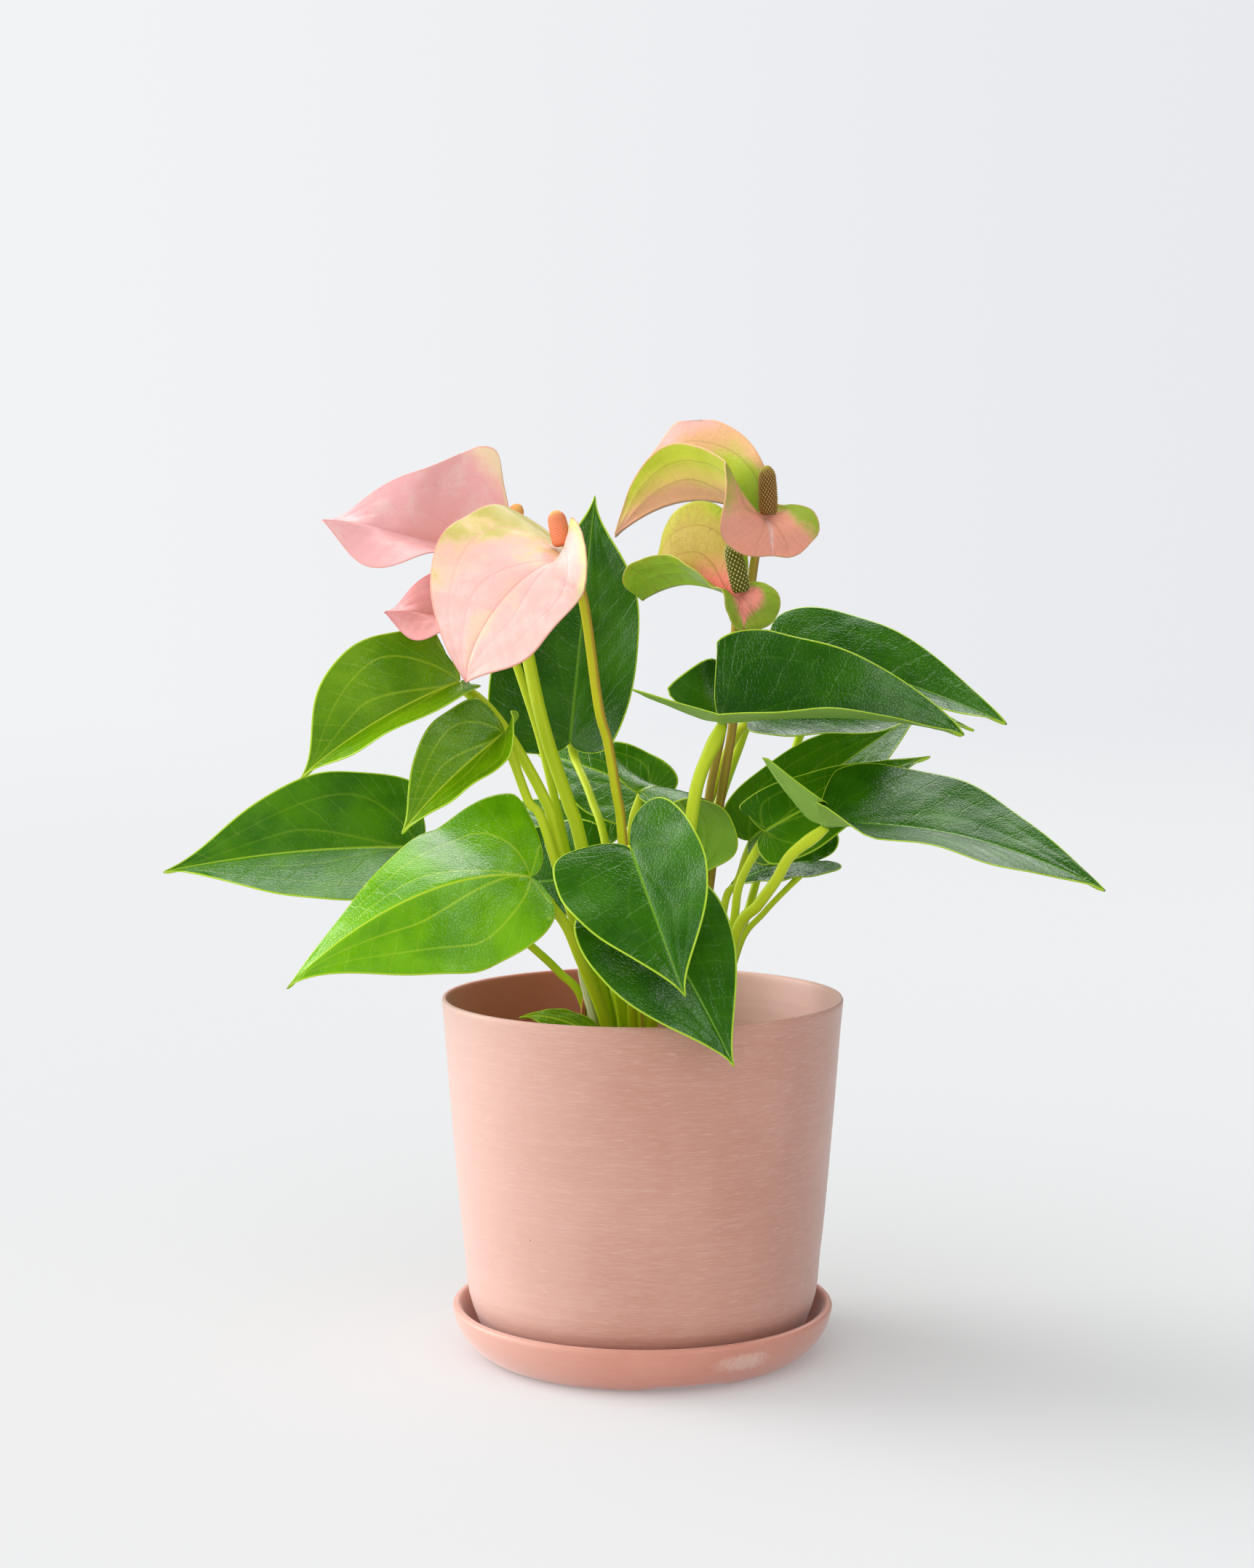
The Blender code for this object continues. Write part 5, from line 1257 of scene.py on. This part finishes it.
def add_saucer():
    """The saucer: a flat foot, a bowed side and a full round lip."""
    half_lip = SAUCER_LIP / 2.0
    lip_middle = (SAUCER_RADIUS - half_lip, SAUCER_HEIGHT - half_lip)
    outside = smooth_line([*SAUCER_OUTSIDE, (SAUCER_RADIUS, lip_middle[1])], SAUCER_STEPS,
                          start=(1.0, 0.0))
    lip = arc(lip_middle, half_lip, 0.0, 180.0, LIP_STEPS)
    inside = smooth_line([lip[-1], *SAUCER_INSIDE], SAUCER_STEPS, end=(-1.0, 0.0))
    outline = [(2.0, 0.0), *outside[:-1], *lip, *inside[1:], (2.0, SAUCER_FLOOR)]
    outline = evenly(np.array(outline), SAUCER_SPACING)
    points, faces = turned(outline, TURNED_SIDES, marks=foot_notch)
    material = clay_material("saucer", *SAUCER_CLAY)
    stand_for(link_mesh("saucer_fine", points, faces, material), "saucer")


def crumbly(x, y):
    """Height of the soil's crumbs at a place."""
    low = noise.noise(Vector((x * 0.055, y * 0.055, 0.3)))
    crumbs = noise.fractal(Vector((x * 0.33, y * 0.33, 1.7)), 1.0, 2.1, 4)
    return 1.5 * low + 0.9 * crumbs


def add_soil():
    """The soil: a crumbly top and a plain body down to the pot's floor."""
    edge = pot_inside(SOIL_TOP - 2.0) - 0.2
    radii = edge * np.linspace(0.0, 1.0, SOIL_RINGS)[::-1] ** 0.8
    rings = [(50.0, POT_BASE_HEIGHT + POT_FLOOR + 0.4), (pot_inside(30.0) - 0.5, 30.0),
             (edge - 1.2, SOIL_TOP - 6.0)]
    rings += [(max(radius, 0.6), SOIL_TOP) for radius in radii]
    points, faces = turned(rings, SOIL_SIDES)
    for point in points:
        if point[2] > SOIL_TOP - 1.0:
            reach = math.hypot(point[0], point[1]) / edge
            point[2] += crumbly(point[0], point[1]) - 1.2 * reach ** 8
    material = soil_material()
    stand_for(link_mesh("soil_fine", points, faces, material), "soil")
    lump = bmesh.new()
    bmesh.ops.create_icosphere(lump, subdivisions=2, radius=1.0)
    shape = np.array([vert.co for vert in lump.verts])
    corners = np.array([[vert.index for vert in face.verts] for face in lump.faces])
    lump.free()
    draw = np.random.default_rng(11)
    points, faces = [], []
    for number in range(SOIL_CRUMBS):
        turn, share = draw.uniform(0.0, 2.0 * math.pi), math.sqrt(draw.uniform(0.0, 0.9))
        size, stretch = draw.uniform(*CRUMB_SIZES), draw.uniform(*CRUMB_STRETCH, 3)
        middle = np.array([edge * share * math.cos(turn), edge * share * math.sin(turn)])
        middle = np.array([*middle, SOIL_TOP + crumbly(*middle) + 0.25 * size])
        rough = draw.uniform(*CRUMB_ROUGH, (len(shape), 1))
        points.append(middle + shape * rough * size * stretch)
        faces.append(corners + number * len(shape))
    stand_for(link_mesh("soil_crumbs", np.vstack(points), np.vstack(faces), material), None)


# Clay: deep, main and pale colours, strength of its streaks, roughness, and a scuff with
# its middle and half sizes in millimetres and its colour
POT_CLAY = ((0.55, 0.260, 0.190), (0.60, 0.305, 0.230), (0.80, 0.56, 0.49), 0.40, 0.46)
SAUCER_CLAY = ((0.60, 0.240, 0.170), (0.65, 0.285, 0.210), (0.80, 0.50, 0.42), 0.12, 0.42,
               ((33.5, -55.5, 10.0), (13.0, 14.0, 4.2), (0.80, 0.62, 0.52)))
# Inside the pot, left to right: painted shade on the left inner wall, painted light on the right
# one
INSIDE_SHADE_AND_LIGHT = ((0.84, 0.20, 0.15), (1.0, 0.60, 0.55))
SPECK_COLOUR = (0.07, 0.03, 0.025)
SOIL_COLOURS = ((0.018, 0.011, 0.007), (0.075, 0.043, 0.024), (0.19, 0.12, 0.07))

# Stems: colours at the foot, at the top and of the side away from the light, and how strong that
# side's tint is
STEM_LOOKS = {
    # That side's tint is painted shade, and on the flushed and olive stems also a real red flush
    "stem_green": ((0.42, 0.58, 0.005), (0.62, 0.74, 0.03), (0.32, 0.50, 0.005), 0.4),
    "stem_flushed": ((0.50, 0.62, 0.005), (0.64, 0.60, 0.02), (0.44, 0.19, 0.04), 0.70),
    "stem_olive": ((0.40, 0.32, 0.03), (0.62, 0.44, 0.08), (0.34, 0.14, 0.04), 0.6),
    "shoot": ((0.58, 0.66, 0.26), (0.74, 0.78, 0.46), (0.50, 0.56, 0.16), 0.3),
}
BLOOM_STEMS = {"bloom_1": "stem_green", "bloom_2": "stem_green", "bloom_3": "stem_flushed",
               "bloom_4": "stem_olive", "bloom_5": "stem_olive"}
SHEATH_COLOURS = ((0.30, 0.10, 0.020), (0.66, 0.30, 0.07))

# Leaves: colours of the rim, the deep and light greens, the veins and the underside, then
# roughness and the strengths of the bowed veins and of the flecks
LEAF_RIM = (0.42, 0.62, 0.03)
LEAF_LOOKS = {
    # The dark leaves' underside is paler than the others': partly its own colour, partly painted
    # sheen for grazing light on folded near halves
    "leaf_dark": dict(deep=(0.014, 0.088, 0.001), light=(0.042, 0.170, 0.002),
                      vein=(0.15, 0.34, 0.02), under=(0.30, 0.52, 0.09), rough=0.22, arcs=0.12),
    "leaf_mid": dict(deep=(0.032, 0.150, 0.001), light=(0.085, 0.265, 0.001),
                     vein=(0.36, 0.56, 0.03), under=(0.21, 0.44, 0.02), rough=0.24, arcs=0.30),
    "leaf_bright": dict(deep=(0.095, 0.310, 0.001), light=(0.200, 0.500, 0.001),
                        vein=(0.50, 0.72, 0.03), under=(0.24, 0.48, 0.03),
                        rough=0.20, arcs=0.65, dots=0.6),
    "leaf_young": dict(deep=(0.085, 0.235, 0.001), light=(0.185, 0.380, 0.001),
                       vein=(0.48, 0.64, 0.03), under=(0.26, 0.46, 0.02), rough=0.24, arcs=0.55),
}

# Leaves that look unlike the others of their slot
OTHER_LOOK = {"leaf_04": "leaf_bright", "leaf_05": "leaf_dark"}

# Colours of the spathes' patches
PINK = (0.92, 0.46, 0.42)
BLUSH = (0.92, 0.62, 0.57)
ROSE = (0.96, 0.32, 0.24)
CREAM = (0.90, 0.74, 0.42)
SALMON = (0.84, 0.44, 0.24)
YELLOW = (0.80, 0.66, 0.12)
LIME = (0.60, 0.68, 0.04)
LEAF_GREEN = (0.26, 0.46, 0.015)
PALE_GREEN = (0.68, 0.70, 0.26)
OLIVE = (0.50, 0.46, 0.05)
BROWN_VEIN = (0.28, 0.13, 0.03)

# Each spathe: base, vein, rim and underside colours, and patches of its upper and under
# faces as (colour, weights of along, signed side, bare side and noise, low, high, strength)
BLUSH_AND_CREAM = ((BLUSH, (0.0, 0.0, 0.0, 1.0), 0.48, 0.68, 0.6),
                   (CREAM, (-1.0, 0.0, 0.5, 0.2), 0.30, 0.62, 0.8))
SPATHE_LOOKS = {
    "bloom_1": dict(base=(0.92, 0.46, 0.46), vein=(0.84, 0.32, 0.34), rim=(0.84, 0.42, 0.38),
                    under=(0.92, 0.46, 0.46), vein_strength=0.30, fine_strength=0.10, mottling=0.05,
                    patches=BLUSH_AND_CREAM, under_patches=BLUSH_AND_CREAM),
    "bloom_2": dict(base=(0.96, 0.44, 0.44), vein=(0.84, 0.26, 0.28), rim=(0.84, 0.34, 0.32),
                    under=(0.96, 0.44, 0.44), vein_strength=0.30, fine_strength=0.10, mottling=0.05,
                    patches=((BLUSH, (0.0, 0.0, 0.0, 1.0), 0.52, 0.72, 0.4),)),
    "bloom_3": dict(base=(0.88, 0.52, 0.46), vein=(0.82, 0.33, 0.29), rim=(0.72, 0.30, 0.22),
                    under=(0.66, 0.66, 0.22), vein_strength=0.55, fine_strength=0.14, mottling=0.06,
                    patches=((BLUSH, (0.0, 0.0, 0.0, 1.0), 0.45, 0.66, 0.7),
                             (YELLOW, (-1.5, -1.0, 0.0, 1.2), 0.45, 1.20, 0.60),
                             (OLIVE, (-1.5, -0.7, 0.0, 2.0), 0.95, 1.55, 0.80),
                             (YELLOW, (0.0, 0.0, -0.7, 1.5), 0.62, 0.85, 0.22),
                             (PALE_GREEN, (-1.5, 1.0, 0.0, 0.6), 0.70, 1.05, 0.90),
                             (ROSE, (1.0, 0.0, 0.0, 0.05), 0.97, 1.03, 0.8))),
    "bloom_4": dict(base=(0.98, 0.40, 0.28), vein=BROWN_VEIN, rim=(0.80, 0.42, 0.22),
                    under=(0.88, 0.46, 0.26), vein_strength=0.40, fine_strength=0.12, mottling=0.12,
                    patches=((BLUSH, (-2.0, 0.0, -2.6, 0.5), -0.10, 0.40, 0.75),
                             (YELLOW, (6.0, -0.2, 0.6, 1.0), 0.48, 0.90, 0.65),
                             (LEAF_GREEN, (6.0, -0.2, 0.6, 0.8), 0.44, 0.80, 0.85),
                             (LIME, (4.0, 0.0, 0.0, 0.6), 0.65, 1.30, 0.7),
                             (SALMON, (1.3, -1.0, 0.0, 0.6), 1.20, 1.55, 0.9),
                             (PINK, (1.3, -1.0, 0.0, 0.4), 1.45, 1.75, 0.95)),
                    under_patches=((YELLOW, (-0.5, 0.0, 1.2, 0.5), 0.25, 0.70, 0.9),
                                   (LIME, (-0.5, 0.0, 1.2, 0.5), 0.60, 1.05, 1.0),
                                   (PINK, (1.0, 0.0, 0.0, 0.3), 0.90, 1.15, 0.6))),
    "bloom_5": dict(base=ROSE, vein=BROWN_VEIN, rim=(0.50, 0.50, 0.08), under=(0.32, 0.54, 0.03),
                    vein_strength=0.45, fine_strength=0.30, mottling=0.30,
                    patches=((SALMON, (2.0, -0.5, 0.0, 0.5), 0.60, 1.10, 0.75),
                             (OLIVE, (1.0, 0.0, 1.0, 0.6), 0.72, 1.05, 0.75),
                             (LEAF_GREEN, (-1.2, 0.0, 1.0, 0.6), 0.72, 1.10, 0.90),
                             (LIME, (0.4, -1.0, 0.0, 0.6), 1.15, 1.50, 0.5)),
                    under_patches=((LIME, (0.0, 0.0, 1.0, 0.7), 1.05, 1.40, 0.5),)),
}

# Each spadix: its two spirals and rows, the height of its lumps, and its colours in the
# gaps as painted shade, on the florets, on their dots and at the top, with the level of the dots
ORANGE_SPADIX = ((7, 11, 11), 0.04, ((0.72, 0.20, 0.06), (0.88, 0.34, 0.12), (0.92, 0.52, 0.24),
                                     (0.90, 0.50, 0.14), 0.88))
SPADIX_LOOKS = {
    "bloom_1": ORANGE_SPADIX,
    "bloom_2": ORANGE_SPADIX,
    "bloom_3": ((7, 11, 11), 0.04, ((0.70, 0.17, 0.07), (0.86, 0.28, 0.13), (0.92, 0.52, 0.24),
                                    (0.90, 0.50, 0.14), 0.88)),
    "bloom_4": ((7, 9, 11), 0.16, ((0.040, 0.018, 0.004), (0.34, 0.17, 0.035),
                                   (0.86, 0.62, 0.28), (0.42, 0.38, 0.03), 0.84)),
    "bloom_5": ((5, 7, 10), 0.14, ((0.050, 0.046, 0.003), (0.17, 0.155, 0.008),
                                   (0.80, 0.82, 0.42), (0.22, 0.24, 0.02), 0.80)),
}


def add_leaves(stems):
    """Each leaf as a fine blade and stem."""
    looks = {name: leaf_material(name, **colours) for name, colours in LEAF_LOOKS.items()}
    for number, (name, (slot, stem, blade)) in enumerate(LEAVES.items()):
        look = looks[OTHER_LOOK.get(name, slot)]
        surface = add_blade(name, blade, look, LEAF_SHIFT * number, LEAF_RIBS)
        add_stem(f"{name}_stem", stem, surface, stems["stem_green"])


def add_blooms(stems):
    """Each bloom as a fine spathe, spadix and stem."""
    for number, (name, (slot, stem_slot, stem, spadix, blade)) in enumerate(BLOOMS.items()):
        node = f"{name}_spathe"
        surface = add_blade(node, blade, spathe_material(node, **SPATHE_LOOKS[name]),
                            SPATHE_SHIFT * number, SPATHE_RIBS)
        node = f"{name}_spadix"
        spirals, bump, colours = SPADIX_LOOKS[name]
        add_spadix(node, spadix, surface, spadix_material(node, *colours), spirals, bump)
        add_stem(f"{name}_stem", stem, surface, stems[BLOOM_STEMS[name]])


def add_shoots(shoot):
    """The pale rolled new shoot, with the seam of its roll, and two crinkled dry sheaths."""
    dry = sheath_material(*SHEATH_COLOURS)
    for name, (slot, stem, seam) in SHOOTS.items():
        end = np.asarray(stem.points[-1], float)
        arrive = unit(end - np.asarray(stem.points[-2], float))
        line = stem_line(Stem(stem.root, stem.points[:-1], stem.radius), end, arrive)
        share = np.linspace(0.0, 1.0, len(line))
        radii = stem.radius * (1.1 - 0.15 * share) * np.sqrt(np.clip(1.0 - share ** 3, 0.02, 1.0))
        points, faces, along = tube(line, radii, 2 * STEM_SIDES, seam)
        piece = link_mesh(f"{name}_fine", points, faces, dry if slot == "sheath" else shoot,
                          {"along": along})
        stand_for(piece, None if name == "sheath_scrap" else name)


def keep_inside(box):
    """Brings any point that lies outside the CAD box back to its side."""
    low, high = np.asarray(box[0]) + BOX_GAP * MM, np.asarray(box[1]) - BOX_GAP * MM
    for mesh in bpy.data.meshes:
        if mesh.name.endswith("_fine"):
            points = np.empty(3 * len(mesh.vertices), np.float32)
            mesh.vertices.foreach_get("co", points)
            mesh.vertices.foreach_set("co", np.clip(points.reshape(-1, 3), low, high).ravel())
            mesh.update()


def floor_material():
    """Plain pale floor that fades out far from the object, into the plain backdrop."""
    shader = Shader("floor", Base_Color=FLOOR_COLOUR, Roughness=0.9, Specular_IOR_Level=0.0,
                    Emission_Color=SURROUND_SEEN[0], Emission_Strength=FLOOR_GLOW)
    low, high = (reach * MM for reach in FLOOR_FADE)
    shader.set(Alpha=shader.ramp(shader.measure("LENGTH", shader.spot()), low, high, 1.0, 0.0))
    return shader.material


def add_surround():
    """A plain backdrop for the camera, light mostly from the left, softboxes for the gloss."""
    world = bpy.data.worlds.new("surround")
    bpy.context.scene.world = world
    world.use_nodes = True
    nodes = Nodes(world.node_tree)
    way = nodes.make("TexCoord", {}).outputs["Generated"]

    def toward(direction):
        """How near a ray's way is to a direction, as a cosine."""
        return nodes.measure("DOT_PRODUCT", way, unit(direction))

    light = nodes.mix(nodes.ramp(toward(SURROUND_FROM), -0.35, 1.0), SURROUND_DARK, SURROUND_BRIGHT)
    seen = nodes.mix(nodes.ramp(nodes.parts(way)[0], -0.25, 0.25), *SURROUND_SEEN)
    shine = SOFTBOX_DARK
    for direction, low, high, level in SOFTBOXES:
        shine = nodes.total(shine, nodes.ramp(toward(direction), low, high, 0.0, level))
    rays = nodes.make("LightPath", {}).outputs
    light = nodes.mix(rays["Is Glossy Ray"], light, shine)
    light = nodes.mix(rays["Is Camera Ray"], light, seen)
    nodes.feed(nodes.tree.nodes["Background"].inputs["Color"], light)
    bpy.context.scene.view_settings.view_transform = "Standard"


def add_stage():
    """A round floor and a broad soft light from the left."""
    rings = [(radius, FLOOR_HEIGHT) for radius in np.linspace(FLOOR_FADE[1], 5.0, FLOOR_RINGS)]
    points, faces = turned(rings, FLOOR_SIDES)
    top = np.vstack([faces[:-2 * FLOOR_SIDES], faces[-FLOOR_SIDES:]])
    link_mesh("floor", points, top, floor_material())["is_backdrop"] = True
    light = bpy.data.lights.new("key", "SUN")
    light.energy = SUN_POWER
    light.angle = math.radians(SUN_SPREAD)
    light.color = SUN_TINT
    lamp = bpy.data.objects.new("key", light)
    lamp.rotation_euler = (-Vector(SUN_FROM)).to_track_quat("-Z", "Y").to_euler()
    bpy.context.scene.collection.objects.link(lamp)
    add_surround()


def add_camera():
    """The camera at the photograph's place."""
    data = bpy.data.cameras.new("camera")
    data.lens = CAMERA_LENS
    data.sensor_width = CAMERA_SENSOR
    data.clip_start, data.clip_end = CAMERA_CLIP
    camera = bpy.data.objects.new("camera", data)
    camera.location = Vector(CAMERA_PLACE) * MM
    camera.rotation_euler = (math.radians(90.0 - CAMERA_DIP), 0.0, 0.0)
    bpy.context.scene.collection.objects.link(camera)
    bpy.context.scene.camera = camera


def main():
    """The CAD box's sizes, every fine piece kept inside them, then the stage and the camera."""
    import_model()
    cad_box = [list(corner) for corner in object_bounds()]
    stems = {name: stem_material(name, *look) for name, look in STEM_LOOKS.items()}
    add_saucer()
    add_pot()
    add_soil()
    add_leaves(stems)
    add_blooms(stems)
    add_shoots(stems["shoot"])
    keep_inside(cad_box)
    add_stage()
    add_camera()
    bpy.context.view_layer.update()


main()
